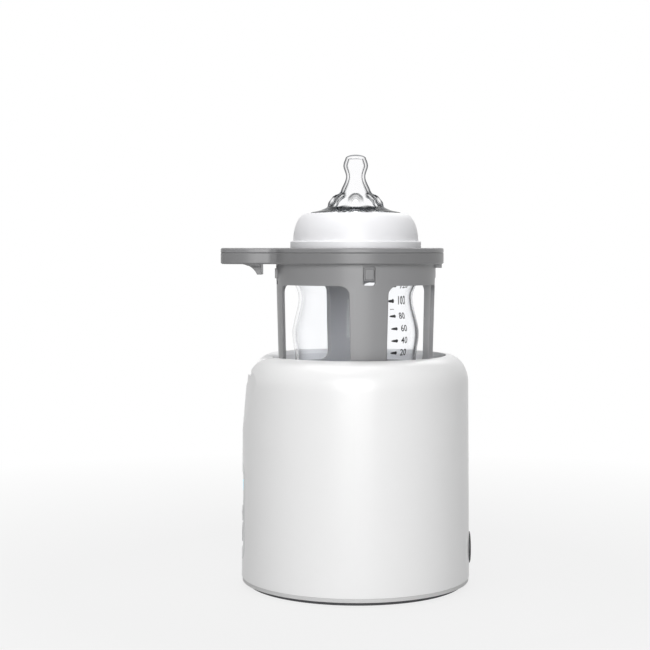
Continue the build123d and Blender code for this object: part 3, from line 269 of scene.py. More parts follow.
# ---------------------------------------------------------------- shader groups
def new_group(name, inputs, outputs):
    """An empty shader group with named sockets, and its input and output nodes."""
    group = bpy.data.node_groups.new(name, "ShaderNodeTree")
    for socket_name, kind, default in inputs:
        socket = group.interface.new_socket(name=socket_name, in_out="INPUT", socket_type=kind)
        socket.default_value = default
    for socket_name, kind in outputs:
        group.interface.new_socket(name=socket_name, in_out="OUTPUT", socket_type=kind)
    source = group.nodes.new("NodeGroupInput")
    result = group.nodes.new("NodeGroupOutput")
    source.location = (-900, 0)
    result.location = (500, 0)
    return group, source, result


def place(tree, kind, x, y, **values):
    """A new shader node with the named settings."""
    node = tree.nodes.new(kind)
    node.location = (x, y)
    for key, value in values.items():
        setattr(node, key, value)
    return node


def moulded_grain_group():
    """Fine spark-eroded grain of a mould, with slow waviness, as a height."""
    group, source, result = new_group(
        "Moulded grain",
        [("Grain size", "NodeSocketFloat", 2600.0), ("Wave size", "NodeSocketFloat", 40.0),
         ("Wave share", "NodeSocketFloat", 0.25)],
        [("Height", "NodeSocketFloat"), ("Mottle", "NodeSocketFloat")])
    links = group.links
    coordinates = place(group, "ShaderNodeTexCoord", -900, -250)
    grain = place(group, "ShaderNodeTexNoise", -600, 150)
    grain.inputs["Detail"].default_value = 2.0
    wave = place(group, "ShaderNodeTexNoise", -600, -200)
    wave.inputs["Detail"].default_value = 3.0
    mix = place(group, "ShaderNodeMix", -100, 0, data_type="FLOAT")
    links.new(coordinates.outputs["Object"], grain.inputs["Vector"])
    links.new(coordinates.outputs["Object"], wave.inputs["Vector"])
    links.new(source.outputs["Grain size"], grain.inputs["Scale"])
    links.new(source.outputs["Wave size"], wave.inputs["Scale"])
    links.new(source.outputs["Wave share"], mix.inputs["Factor"])
    links.new(grain.outputs["Fac"], mix.inputs["A"])
    links.new(wave.outputs["Fac"], mix.inputs["B"])
    links.new(mix.outputs["Result"], result.inputs["Height"])
    links.new(wave.outputs["Fac"], result.inputs["Mottle"])
    return group


def edge_wear_group():
    """Mask of the edges, broken up by noise: where hands and dishcloths have worn them, and where a painted
    highlight lies along them.
    """
    group, source, result = new_group(
        "Edge wear",
        [("Width", "NodeSocketFloat", 0.0006), ("Breakup", "NodeSocketFloat", 220.0)],
        [("Mask", "NodeSocketFloat")])
    links = group.links
    bevel = place(group, "ShaderNodeBevel", -600, 150, samples=4)
    geometry = place(group, "ShaderNodeNewGeometry", -600, -50)
    dot = place(group, "ShaderNodeVectorMath", -380, 100, operation="DOT_PRODUCT")
    turn = place(group, "ShaderNodeMapRange", -160, 100)
    turn.inputs["From Min"].default_value = 1.0
    turn.inputs["From Max"].default_value = 0.82
    coordinates = place(group, "ShaderNodeTexCoord", -900, -300)
    noise = place(group, "ShaderNodeTexNoise", -380, -250)
    noise.inputs["Detail"].default_value = 4.0
    spread = place(group, "ShaderNodeMapRange", -160, -200)
    spread.inputs["From Min"].default_value = 0.35
    spread.inputs["From Max"].default_value = 0.65
    both = place(group, "ShaderNodeMath", 120, 0, operation="MULTIPLY")
    links.new(source.outputs["Width"], bevel.inputs["Radius"])
    links.new(bevel.outputs["Normal"], dot.inputs[0])
    links.new(geometry.outputs["Normal"], dot.inputs[1])
    links.new(dot.outputs["Value"], turn.inputs["Value"])
    links.new(coordinates.outputs["Object"], noise.inputs["Vector"])
    links.new(source.outputs["Breakup"], noise.inputs["Scale"])
    links.new(noise.outputs["Fac"], spread.inputs["Value"])
    links.new(turn.outputs["Result"], both.inputs[0])
    links.new(spread.outputs["Result"], both.inputs[1])
    links.new(both.outputs["Value"], result.inputs["Mask"])
    return group


def handling_group():
    """Faint wipe marks and water spots that change how a surface shines."""
    group, source, result = new_group(
        "Handling marks",
        [("Base", "NodeSocketFloat", 0.3), ("Spread", "NodeSocketFloat", 0.08),
         ("Size", "NodeSocketFloat", 30.0)],
        [("Roughness", "NodeSocketFloat")])
    links = group.links
    coordinates = place(group, "ShaderNodeTexCoord", -900, -200)
    stretch = place(group, "ShaderNodeMapping", -740, -200)
    stretch.inputs["Scale"].default_value = (1.0, 1.0, 0.45)
    smear = place(group, "ShaderNodeTexNoise", -540, 100)
    smear.inputs["Detail"].default_value = 6.0
    smear.inputs["Distortion"].default_value = 1.2
    centred = place(group, "ShaderNodeMath", -300, 100, operation="SUBTRACT")
    centred.inputs[1].default_value = 0.5
    scaled = place(group, "ShaderNodeMath", -100, 100, operation="MULTIPLY")
    total = place(group, "ShaderNodeMath", 120, 100, operation="ADD", use_clamp=True)
    links.new(coordinates.outputs["Object"], stretch.inputs["Vector"])
    links.new(stretch.outputs["Vector"], smear.inputs["Vector"])
    links.new(source.outputs["Size"], smear.inputs["Scale"])
    links.new(smear.outputs["Fac"], centred.inputs[0])
    links.new(centred.outputs["Value"], scaled.inputs[0])
    links.new(source.outputs["Spread"], scaled.inputs[1])
    links.new(scaled.outputs["Value"], total.inputs[0])
    links.new(source.outputs["Base"], total.inputs[1])
    links.new(total.outputs["Value"], result.inputs["Roughness"])
    return group


GROUPS = {}


def shared_group(name):
    """The shader group of that name, built the first time it is asked for."""
    makers = {"grain": moulded_grain_group, "wear": edge_wear_group, "handling": handling_group}
    if name not in GROUPS:
        GROUPS[name] = makers[name]()
    return GROUPS[name]


def use_group(tree, name, x, y, **values):
    """A node of a shared group, with the named inputs set."""
    node = place(tree, "ShaderNodeGroup", x, y)
    node.node_tree = shared_group(name)
    for key, value in values.items():
        node.inputs[key.replace("_", " ")].default_value = value
    return node


# ---------------------------------------------------------------- materials
def blank_material(name):
    """A new node material, with its tree and its main shader."""
    material = bpy.data.materials.new(name)
    material.use_nodes = True
    tree = material.node_tree
    shader = tree.nodes["Principled BSDF"]
    shader.location = (500, 0)
    tree.nodes["Material Output"].location = (800, 0)
    return material, tree, shader


def tinted(colour, factor):
    """A colour scaled by a factor, with full alpha and no channel above 1."""
    return tuple(min(1.0, channel * factor) for channel in colour[:3]) + (1.0,)


def worn_colour(tree, shader, colour, mottle, wear, rub_and_highlight_lift, mottle_depth):
    """Base colour that varies slowly and lightens along the edges, both where they are worn and as a painted
    highlight.
    """
    ramp = place(tree, "ShaderNodeMix", -150, 250, data_type="RGBA")
    ramp.inputs["A"].default_value = tinted(colour, 1 - mottle_depth)
    ramp.inputs["B"].default_value = tinted(colour, 1 + mottle_depth)
    # The lightened edge colour is partly worn edges and partly a painted highlight.
    rub_and_highlight_mix = place(tree, "ShaderNodeMix", 150, 250, data_type="RGBA")
    rub_and_highlight_mix.inputs["B"].default_value = tinted(colour, rub_and_highlight_lift)
    tree.links.new(mottle, ramp.inputs["Factor"])
    tree.links.new(ramp.outputs["Result"], rub_and_highlight_mix.inputs["A"])
    tree.links.new(wear, rub_and_highlight_mix.inputs["Factor"])
    tree.links.new(rub_and_highlight_mix.outputs["Result"], shader.inputs["Base Color"])


def moulded_plastic(name, colour, roughness, grain_size=2600.0, grain_depth=0.00001, coat=0.0,
                    rub_and_highlight_lift=1.25, spread=0.08, mottle_depth=0.02, specular=0.5, edge_radius=0.0003,
                    coat_roughness=0.06):
    """Injection-moulded plastic: grain, slow mottle, soft edges that are lightened by use and by a painted
    highlight, and handling marks.
    """
    material, tree, shader = blank_material(name)
    grain = use_group(tree, "grain", -700, -200, Grain_size=grain_size)
    wear = use_group(tree, "wear", -700, 100)
    handling = use_group(tree, "handling", -700, 350, Base=roughness, Spread=spread)
    soften = place(tree, "ShaderNodeMath", -350, 100, operation="MULTIPLY")
    soften.inputs[1].default_value = bpy.context.scene.warmer_finishes.edge_wear
    tree.links.new(wear.outputs["Mask"], soften.inputs[0])
    worn_colour(tree, shader, colour, grain.outputs["Mottle"], soften.outputs["Value"], rub_and_highlight_lift, mottle_depth)
    tree.links.new(handling.outputs["Roughness"], shader.inputs["Roughness"])
    soft_edge = place(tree, "ShaderNodeBevel", -150, -400, samples=6)
    soft_edge.inputs["Radius"].default_value = edge_radius
    bump = place(tree, "ShaderNodeBump", 150, -250)
    bump.inputs["Strength"].default_value = 0.5
    bump.inputs["Distance"].default_value = grain_depth
    tree.links.new(soft_edge.outputs["Normal"], bump.inputs["Normal"])
    tree.links.new(grain.outputs["Height"], bump.inputs["Height"])
    tree.links.new(bump.outputs["Normal"], shader.inputs["Normal"])
    shader.inputs["Coat Weight"].default_value = coat
    shader.inputs["Coat Roughness"].default_value = coat_roughness
    shader.inputs["Specular IOR Level"].default_value = specular
    return material


def shade_above(material, height, share, blend=0.05 * MM):
    """Paints shade on a finish: above a height, it keeps only a share of its colour."""
    tree = material.node_tree
    shader = tree.nodes["Principled BSDF"]
    link = shader.inputs["Base Color"].links[0]
    # Painted shade: the colour is scaled down above the height.
    coordinates = place(tree, "ShaderNodeTexCoord", -900, 700)
    split = place(tree, "ShaderNodeSeparateXYZ", -700, 700)
    above = place(tree, "ShaderNodeMapRange", -500, 700)
    above.inputs["From Min"].default_value = height - blend
    above.inputs["From Max"].default_value = height + blend
    above.inputs["To Min"].default_value = 1.0
    above.inputs["To Max"].default_value = share
    scale = place(tree, "ShaderNodeVectorMath", 330, 250, operation="SCALE")
    tree.links.new(coordinates.outputs["Object"], split.inputs[0])
    tree.links.new(split.outputs["Z"], above.inputs["Value"])
    tree.links.new(link.from_socket, scale.inputs[0])
    tree.links.new(above.outputs["Result"], scale.inputs["Scale"])
    tree.links.new(scale.outputs["Vector"], shader.inputs["Base Color"])
    return material


def brushed_metal(name, colour, roughness, direction=(1.0, 18.0, 18.0), line_size=900.0, darken=0.85):
    """Drawn or brushed metal: fine lines one way, with stains that dull it."""
    material, tree, shader = blank_material(name)
    coordinates = place(tree, "ShaderNodeTexCoord", -1100, 0)
    stretch = place(tree, "ShaderNodeMapping", -900, 0)
    stretch.inputs["Scale"].default_value = direction
    lines = place(tree, "ShaderNodeTexNoise", -700, 0)
    lines.inputs["Scale"].default_value = line_size
    lines.inputs["Detail"].default_value = 3.0
    handling = use_group(tree, "handling", -700, 350, Base=roughness, Spread=0.2, Size=60.0)
    wear = use_group(tree, "wear", -700, 150)
    tree.links.new(coordinates.outputs["Object"], stretch.inputs["Vector"])
    tree.links.new(stretch.outputs["Vector"], lines.inputs["Vector"])
    worn_colour(tree, shader, tinted(colour, darken), lines.outputs["Fac"], wear.outputs["Mask"], 1.2, 0.12)
    bump = place(tree, "ShaderNodeBump", 150, -250)
    bump.inputs["Strength"].default_value = 0.3
    bump.inputs["Distance"].default_value = 0.00002
    tree.links.new(lines.outputs["Fac"], bump.inputs["Height"])
    tree.links.new(bump.outputs["Normal"], shader.inputs["Normal"])
    tree.links.new(handling.outputs["Roughness"], shader.inputs["Roughness"])
    shader.inputs["Metallic"].default_value = 1.0
    return material


def soft_rubber(name, colour, roughness=0.6):
    """Matt rubber or silicone seal with a dusty bloom on its edges."""
    return moulded_plastic(name, colour, roughness, grain_size=1500.0, grain_depth=0.00003,
                           rub_and_highlight_lift=1.5, spread=0.15, mottle_depth=0.06, specular=0.3)


def circuit_board(name, colour):
    """Solder-masked board with faint copper tracks under the mask."""
    material, tree, shader = blank_material(name)
    coordinates = place(tree, "ShaderNodeTexCoord", -1100, 0)
    tracks = place(tree, "ShaderNodeTexBrick", -800, 100)
    tracks.inputs["Scale"].default_value = 160.0
    tracks.inputs["Mortar Size"].default_value = 0.03
    tracks.inputs["Color1"].default_value = tinted(colour, 1.0)
    tracks.inputs["Color2"].default_value = tinted(colour, 0.8)
    tracks.inputs["Mortar"].default_value = tinted(colour, 1.7)
    handling = use_group(tree, "handling", -700, 400, Base=0.32, Spread=0.15, Size=70.0)
    bump = place(tree, "ShaderNodeBump", 150, -250)
    bump.inputs["Strength"].default_value = 0.4
    bump.inputs["Distance"].default_value = 0.00004
    tree.links.new(coordinates.outputs["Object"], tracks.inputs["Vector"])
    tree.links.new(tracks.outputs["Color"], shader.inputs["Base Color"])
    tree.links.new(tracks.outputs["Fac"], bump.inputs["Height"])
    tree.links.new(bump.outputs["Normal"], shader.inputs["Normal"])
    tree.links.new(handling.outputs["Roughness"], shader.inputs["Roughness"])
    return material


def clear_plastic(name, painted_edge_shade, face_colour, ior, roughness, painted_edge_start=0.5, painted_edge_end=1.0,
                  wave=0.00002):
    """Clear moulded wall with painted shade that turns it grey where it faces away from the view, with faint
    flow waves and wiped spots.

    Lamps shine through it, so that what stands behind it is lit.
    """
    material, tree, shader = blank_material(name)
    # Painted shade: the colour darkens from the face colour to the edge colour as the wall turns away from
    # the camera.
    facing = place(tree, "ShaderNodeLayerWeight", -500, 300)
    facing.inputs["Blend"].default_value = 0.5
    band = place(tree, "ShaderNodeMapRange", -250, 300, interpolation_type="SMOOTHSTEP")
    band.inputs["From Min"].default_value = painted_edge_start
    band.inputs["From Max"].default_value = painted_edge_end
    tint = place(tree, "ShaderNodeMix", 100, 300, data_type="RGBA")
    tint.inputs["A"].default_value = tinted(face_colour, 1.0)
    tint.inputs["B"].default_value = tinted(painted_edge_shade, 1.0)
    tree.links.new(facing.outputs["Facing"], band.inputs["Value"])
    tree.links.new(band.outputs["Result"], tint.inputs["Factor"])
    tree.links.new(tint.outputs["Result"], shader.inputs["Base Color"])
    grain = use_group(tree, "grain", -700, -200, Grain_size=300.0, Wave_size=25.0, Wave_share=0.9)
    handling = use_group(tree, "handling", -700, 0, Base=roughness, Spread=0.05, Size=45.0)
    bump = place(tree, "ShaderNodeBump", 150, -250)
    bump.inputs["Strength"].default_value = 0.4
    bump.inputs["Distance"].default_value = wave
    tree.links.new(grain.outputs["Height"], bump.inputs["Height"])
    tree.links.new(bump.outputs["Normal"], shader.inputs["Normal"])
    tree.links.new(handling.outputs["Roughness"], shader.inputs["Roughness"])
    shader.inputs["Transmission Weight"].default_value = 1.0
    shader.inputs["IOR"].default_value = ior
    path = place(tree, "ShaderNodeLightPath", 500, 400)
    through = place(tree, "ShaderNodeBsdfTransparent", 500, 200)
    through.inputs["Color"].default_value = tinted(face_colour, 1.0)
    mix = place(tree, "ShaderNodeMixShader", 850, 200)
    output = tree.nodes["Material Output"]
    output.location = (1050, 200)
    tree.links.new(path.outputs["Is Shadow Ray"], mix.inputs[0])
    tree.links.new(shader.outputs["BSDF"], mix.inputs[1])
    tree.links.new(through.outputs["BSDF"], mix.inputs[2])
    tree.links.new(mix.outputs["Shader"], output.inputs["Surface"])
    return material


def printed_ink(name, colour, roughness=0.5):
    """Screen-printed ink: slightly raised and uneven."""
    return moulded_plastic(name, colour, roughness, grain_size=4000.0, grain_depth=0.00001,
                           rub_and_highlight_lift=1.6, spread=0.2, mottle_depth=0.25)


def glowing_segments(name, colour, strength):
    """Lit segments of a display, a little uneven from one to the next."""
    material, tree, shader = blank_material(name)
    grain = use_group(tree, "grain", -700, -200, Grain_size=900.0, Wave_size=200.0, Wave_share=0.6)
    glow = place(tree, "ShaderNodeMix", 100, -100, data_type="RGBA")
    glow.inputs["A"].default_value = tinted(colour, 0.85)
    glow.inputs["B"].default_value = tinted(colour, 1.1)
    tree.links.new(grain.outputs["Height"], glow.inputs["Factor"])
    tree.links.new(glow.outputs["Result"], shader.inputs["Emission Color"])
    tree.links.new(glow.outputs["Result"], shader.inputs["Base Color"])
    shader.inputs["Emission Strength"].default_value = strength
    shader.inputs["Roughness"].default_value = 0.4
    return material


def slot_materials():
    """One finish for each material slot of the record."""
    finishes = bpy.context.scene.warmer_finishes
    steel = (0.62, 0.62, 0.61)
    return {
        "housing_white": moulded_plastic("Gloss white housing", finishes.housing, 0.30, grain_size=900.0,
                                         grain_depth=0.000002, coat=0.25, rub_and_highlight_lift=1.05, spread=0.04,
                                         mottle_depth=0.006, coat_roughness=0.22),
        "tank_grey": moulded_plastic("Light grey tank", finishes.tank, 0.35, mottle_depth=0.03),
        "silicone_seal": soft_rubber("Red silicone seal", (0.45, 0.07, 0.04)),
        "steel_plate": brushed_metal("Brushed steel", steel, 0.3),
        "heater_metal": brushed_metal("Heater sheath", (0.32, 0.30, 0.28), 0.45, direction=(6.0, 6.0, 6.0)),
        "screw_steel": brushed_metal("Zinc-plated screw", (0.55, 0.56, 0.58), 0.33, line_size=1500.0),
        "black_plastic": moulded_plastic("Black moulding", (0.025, 0.025, 0.028), 0.42, rub_and_highlight_lift=2.2,
                                         mottle_depth=0.1),
        "fuse_metal": brushed_metal("Tinned fuse case", (0.75, 0.75, 0.77), 0.28),
        "base_plastic": moulded_plastic("Pale grey base", (0.62, 0.62, 0.62), 0.42),
        "foot_rubber": soft_rubber("Grey foot rubber", (0.09, 0.09, 0.095), 0.7),
        "board_green": circuit_board("Green board", (0.015, 0.09, 0.03)),
        "transformer_iron": brushed_metal("Laminated iron", (0.14, 0.14, 0.15), 0.55,
                                          direction=(1.0, 1.0, 40.0)),
        "capacitor_yellow": moulded_plastic("Yellow film box", (0.60, 0.36, 0.03), 0.4, mottle_depth=0.05),
        "capacitor_can": moulded_plastic("Sleeved capacitor can", (0.02, 0.03, 0.07), 0.3, rub_and_highlight_lift=1.8),
        # The fuse glass's grey edges are painted shade.
        "fuse_glass": clear_plastic("Fuse glass", (0.5, 0.52, 0.52), (0.95, 0.97, 0.96), 1.45, 0.03),
        "clip_brass": brushed_metal("Brass clip", (0.62, 0.42, 0.15), 0.3),
        "terminal_green": moulded_plastic("Green terminal block", (0.02, 0.16, 0.07), 0.4),
        "lens_green": moulded_plastic("Green light pipe", (0.18, 0.62, 0.28), 0.2, coat=0.4,
                                      grain_depth=0.000003),
        "bezel_grey": moulded_plastic("Pale bezel", (0.62, 0.63, 0.64), 0.28, coat=0.3,
                                      grain_depth=0.000004, mottle_depth=0.01),
        "panel_grey": moulded_plastic("Grey panel face", (0.19, 0.20, 0.21), 0.38, mottle_depth=0.03),
        "window_dark": moulded_plastic("Smoked window", (0.012, 0.014, 0.016), 0.08, coat=0.8,
                                       grain_depth=0.000001, spread=0.05),
        "button_grey": moulded_plastic("Button grey", (0.36, 0.37, 0.38), 0.42, mottle_depth=0.03),
        # Above the flange's foot the basket's grey is darkened as painted shade.
        "basket_grey": shade_above(
            # The edge lift of 1.9 paints highlight lines along the basket's edges, over its worn edges.
            moulded_plastic("Satin basket grey", finishes.basket, 0.36, grain_size=1900.0,
                            grain_depth=0.000012, rub_and_highlight_lift=1.9, mottle_depth=0.02, edge_radius=0.0006),
            FLANGE_FOOT, finishes.flange_shade),
        # The cover's darker grey is partly painted shade on the flange.
        "cover_grey": moulded_plastic("Satin cover grey", finishes.cover, 0.33, grain_size=1900.0,
                                      # The edge lift of 1.9 paints highlight lines along the cover's edges,
                                      # over its worn edges.
                                      grain_depth=0.000012, rub_and_highlight_lift=1.9, mottle_depth=0.02,
                                      edge_radius=0.0005),
        # The bottle's grey edges are painted shade.
        "bottle_clear": clear_plastic("Clear bottle", (0.33, 0.35, 0.38), (0.985, 0.99, 1.0), 1.16, 0.01,
                                      painted_edge_start=0.72, painted_edge_end=0.98),
        "ring_white": moulded_plastic("White screw ring", finishes.ring, 0.46, grain_size=1500.0,
                                      grain_depth=0.000003, coat=0.35, rub_and_highlight_lift=1.04, spread=0.05,
                                      mottle_depth=0.006, coat_roughness=0.4),
        # The teat's dark lines, where its wall turns from the view, are painted shade.
        "teat_silicone": clear_plastic("Clear silicone", (0.05, 0.055, 0.06), (0.99, 0.99, 0.995), 1.07,
                                       0.03, painted_edge_start=0.32, painted_edge_end=0.66, wave=0.000004),
    }


MATERIALS = {}


def material_for(slot):
    """The finish of a material slot; all are built the first time one is asked for."""
    if not MATERIALS:
        MATERIALS.update(slot_materials())
    return MATERIALS[slot]


# ---------------------------------------------------------------- operators
class WARMER_OT_finishes(bpy.types.Operator):
    """Gives every solid of the warmer the finish of its material slot"""

    bl_idname = "warmer.finishes"
    bl_label = "Finish the solids"

    def execute(self, context):
        for name, piece in frame["nodes"].items():
            piece.data.materials.clear()
            piece.data.materials.append(material_for(SLOT_OF_NODE[name]))
        return {"FINISHED"}


class WARMER_OT_teat(bpy.types.Operator):
    """Models the clear silicone teat with the soft pads round its foot"""

    bl_idname = "warmer.teat"
    bl_label = "Model the teat"

    def execute(self, context):
        sizes = context.scene.warmer_bottle
        skin = stack_of_rings(teat_outline(), 128)
        skin.name = "teat_skin"
        raise_pads(skin, sizes.petal_count, sizes.petal_swell)
        add_modifier(skin, "SOLIDIFY", thickness=TEAT_WALL, offset=-1.0, use_even_offset=True)
        apply_modifiers(skin)
        widen_flange(skin)
        finish_piece(skin, "soft_teat", "teat_body", material_for("teat_silicone"),
                     math.radians(50))
        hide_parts("teat")
        return {"FINISHED"}


def teat_outline():
    """Radius and height of the teat's outer skin, from its foot on the bottle's neck to its tip."""
    foot = TEAT_LOW.z
    top = TEAT_HIGH.z
    ring_top = RING_TOP
    points = [(TEAT_FOOT_RADIUS, foot), (TEAT_FOOT_RADIUS, foot + 2.5 * MM),
              (TEAT_FOOT_RADIUS, ring_top - 0.6 * MM), (23.4 * MM, ring_top + 0.2 * MM),
              (22.6 * MM, ring_top + 0.6 * MM), (20.6 * MM, ring_top + 1.0 * MM)]
    guide = [(20.6, 1.0), (17.2, 2.0), (13.0, 4.4), (8.5, 10.2), (7.1, 13.0), (4.95, 18.6), (6.35, 24.2),
             (5.3, 28.1)]
    for radius, height in smooth_through(guide, 7)[1:]:
        points.append((radius * MM, ring_top + height * MM))
    tip_radius = guide[-1][0]
    tip_rise = 2.0
    tip_start = (top - ring_top) / MM - tip_rise
    for step in range(1, 9):
        angle = math.radians(90 * step / 8.4)
        points.append((tip_radius * math.cos(angle) * MM,
                       ring_top + (tip_start + tip_rise * math.sin(angle)) * MM))
    return points


def smooth_through(points, steps):
    """Points on a smooth line through the given ones."""
    found = []
    for index in range(len(points) - 1):
        before = points[max(index - 1, 0)]
        start = points[index]
        end = points[index + 1]
        after = points[min(index + 2, len(points) - 1)]
        for step in range(steps):
            t = step / steps
            found.append(tuple(
                0.5 * (2 * b + (c - a) * t + (2 * a - 5 * b + 4 * c - d) * t * t
                       + (3 * b - a - 3 * c + d) * t * t * t)
                for a, b, c, d in zip(before, start, end, after)))
    found.append(points[-1])
    return found


def raise_pads(skin, count, swell):
    """Swells soft pads out of the cone, evenly round it, by soft moves of its skin."""
    bpy.context.view_layer.objects.active = skin
    circle_radius = 11.4 * MM
    circle_height = RING_TOP + 6.4 * MM
    pad_reach = 1.9 * MM
    soft_reach = 3.4 * MM
    for index in range(count):
        angle = 2 * math.pi * index / count
        direction = Vector((math.cos(angle), math.sin(angle), 0.0))
        centre = direction * circle_radius + AXIS_UP * circle_height
        select_vertices(skin, lambda co, middle=centre: (co - middle).length < pad_reach)
        push = (direction * 0.75 + AXIS_UP * 0.55).normalized() * circle_radius * swell
        bpy.ops.transform.translate(
            value=push, use_proportional_edit=True, use_proportional_connected=False,
            proportional_edit_falloff="SMOOTH", proportional_size=soft_reach)
    bpy.ops.object.mode_set(mode="OBJECT")


def widen_flange(skin):
    """Draws the foot of the teat out into the flange that the screw ring clamps."""
    bpy.ops.object.mode_set(mode="EDIT")
    bpy.ops.mesh.select_mode(type="FACE")
    bpy.ops.mesh.select_all(action="DESELECT")
    bpy.ops.object.mode_set(mode="OBJECT")
    for face in skin.data.polygons:
        middle = face.center
        radius = math.hypot(middle.x, middle.y)
        outside = radius > TEAT_FOOT_RADIUS - 0.5 * MM and abs(face.normal.z) < 0.3
        face.select = outside and middle.z < TEAT_LOW.z + 2.5 * MM
    bpy.ops.object.mode_set(mode="EDIT")
    bpy.ops.mesh.extrude_region_move(MESH_OT_extrude_region={}, TRANSFORM_OT_translate={"value": (0, 0, 0)})
    growth = TEAT_FLANGE_RADIUS / TEAT_FOOT_RADIUS
    bpy.ops.transform.resize(value=(growth, growth, 1), center_override=(0, 0, TEAT_LOW.z))
    bpy.ops.object.mode_set(mode="OBJECT")


class WARMER_OT_bottle_scale(bpy.types.Operator):
    """Prints the volume scale on the bottle: pointers, a tick and plain numbers"""

    bl_idname = "warmer.bottle_scale"
    bl_label = "Print the volume scale"

    def execute(self, context):
        sizes = context.scene.warmer_bottle
        marks = []
        for value, height in SCALE_MARKS:
            marks.append(scale_number(str(value), sizes.scale_angle + sizes.number_lead,
                                      height * MM, sizes.number_height))
            marks.append(scale_pointer(sizes.scale_angle, height * MM))
        marks.append(scale_tick(sizes.scale_angle - SCALE_TICK_LEAD, SCALE_TICK_HEIGHT))
        deselect_everything()
        for mark in marks:
            mark.select_set(True)
        context.view_layer.objects.active = marks[0]
        bpy.ops.object.join()
        scale = context.object
        bpy.ops.object.transform_apply(location=True, rotation=True, scale=True)
        add_modifier(scale, "SHRINKWRAP", target=frame["nodes"]["bottle_shell"],
                     wrap_method="NEAREST_SURFACEPOINT", wrap_mode="ABOVE_SURFACE", offset=INK_LIFT)
        add_modifier(scale, "SOLIDIFY", thickness=INK_THICKNESS, offset=0.0)
        apply_modifiers(scale)
        finish_piece(scale, "bottle_scale", "bottle", ink_material("Black ink"))
        return {"FINISHED"}


INKS = {}


def ink_material(name):
    """The printed inks, each built the first time it is asked for."""
    colours = {"Black ink": (0.018, 0.018, 0.02), "White ink": (0.72, 0.72, 0.72)}
    if name not in INKS:
        INKS[name] = printed_ink(name, colours[name])
    return INKS[name]


def set_on_bottle(mark, angle, height):
    """Turns a flat mark to face outwards at an angle round the bottle, just off its belly."""
    mark.rotation_euler = (math.radians(90), 0, angle + math.radians(90))
    mark.location = (BOTTLE_REACH * math.cos(angle), BOTTLE_REACH * math.sin(angle), height)
    return mark


def scale_number(words, angle, height, size):
    """A number in plain type, cut fine enough to follow the bottle's curve."""
    deselect_everything()
    bpy.ops.object.text_add()
    text = bpy.context.object
    text.data.body = words
    text.data.size = size * FONT_PER_FIGURE
    text.data.align_x = "LEFT"
    text.data.align_y = "CENTER"
    text.data.space_character = 1.05
    text.data.offset = 0.05 * MM
    text.data.resolution_u = 4
    bpy.ops.object.convert(target="MESH")
    deselect_everything()
    text.select_set(True)
    bpy.context.view_layer.objects.active = text
    bpy.ops.object.mode_set(mode="EDIT")
    bpy.ops.mesh.select_all(action="SELECT")
    bpy.ops.mesh.subdivide(number_cuts=1)
    bpy.ops.object.mode_set(mode="OBJECT")
    return set_on_bottle(text, angle, height)


def scale_pointer(angle, height):
    """A drop-shaped pointer whose thin end points away from the number."""
    deselect_everything()
    bpy.ops.mesh.primitive_circle_add(vertices=24, radius=0.85 * MM, fill_type="NGON")
    drop = bpy.context.object
    split = -0.1 * MM
    select_vertices(drop, lambda co: co.x < split)
    bpy.ops.transform.resize(value=(4.4, 0.8, 1), center_override=(split, 0, 0))
    bpy.ops.mesh.select_all(action="SELECT")
    bpy.ops.mesh.poke()
    bpy.ops.object.mode_set(mode="OBJECT")
    return set_on_bottle(drop, angle, height)


def scale_tick(angle, height):
    """A short line with rounded ends."""
    deselect_everything()
    bpy.ops.mesh.primitive_circle_add(vertices=16, radius=0.16 * MM, fill_type="NGON")
    tick = bpy.context.object
    select_vertices(tick, lambda co: co.x > 0)
    bpy.ops.transform.translate(value=(2.4 * MM, 0, 0))
    bpy.ops.object.mode_set(mode="OBJECT")
    return set_on_bottle(tick, angle, height)


class WARMER_OT_panel_marks(bpy.types.Operator):
    """Prints the button symbols and lights the digits of the display"""

    bl_idname = "warmer.panel_marks"
    bl_label = "Mark the control panel"

    def execute(self, context):
        for node, body, words in (("plus_button", "plus_key", "+"), ("minus_button", "minus_key", "−")):
            low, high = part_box(node)
            sign = raised_words(words, SIGN_SIZE, front_middle(low, high))
            finish_piece(sign, node.replace("button", "sign"), body, ink_material("White ink"))
        low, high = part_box("power_button")
        symbol = power_symbol(front_middle(low, high))
        finish_piece(symbol, "power_sign", "power_key", ink_material("White ink"))
        low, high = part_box("display_window")
        digits = raised_words("37", DIGIT_SIZE, front_middle(low, high))
        glow = glowing_segments("Lit digits", (0.30, 0.75, 0.95), 1.2)
        finish_piece(digits, "display_digits", "housing", glow)
        return {"FINISHED"}


def front_middle(low, high):
    """The middle of the front of a box, from its lowest and highest corners."""
    return ((low.x + high.x) / 2, low.y, (low.z + high.z) / 2)


def raised_words(words, size, at):
    """Thin printed words that face forwards."""
    deselect_everything()
    bpy.ops.object.text_add()
    text = bpy.context.object
    text.data.body = words
    text.data.size = size
    text.data.align_x = "CENTER"
    text.data.align_y = "CENTER"
    text.data.resolution_u = 6
    text.data.extrude = WORD_THICKNESS
    bpy.ops.object.convert(target="MESH")
    text.rotation_euler = (math.radians(90), 0, 0)
    text.location = (at[0], at[1] - WORD_LIFT, at[2])
    return text


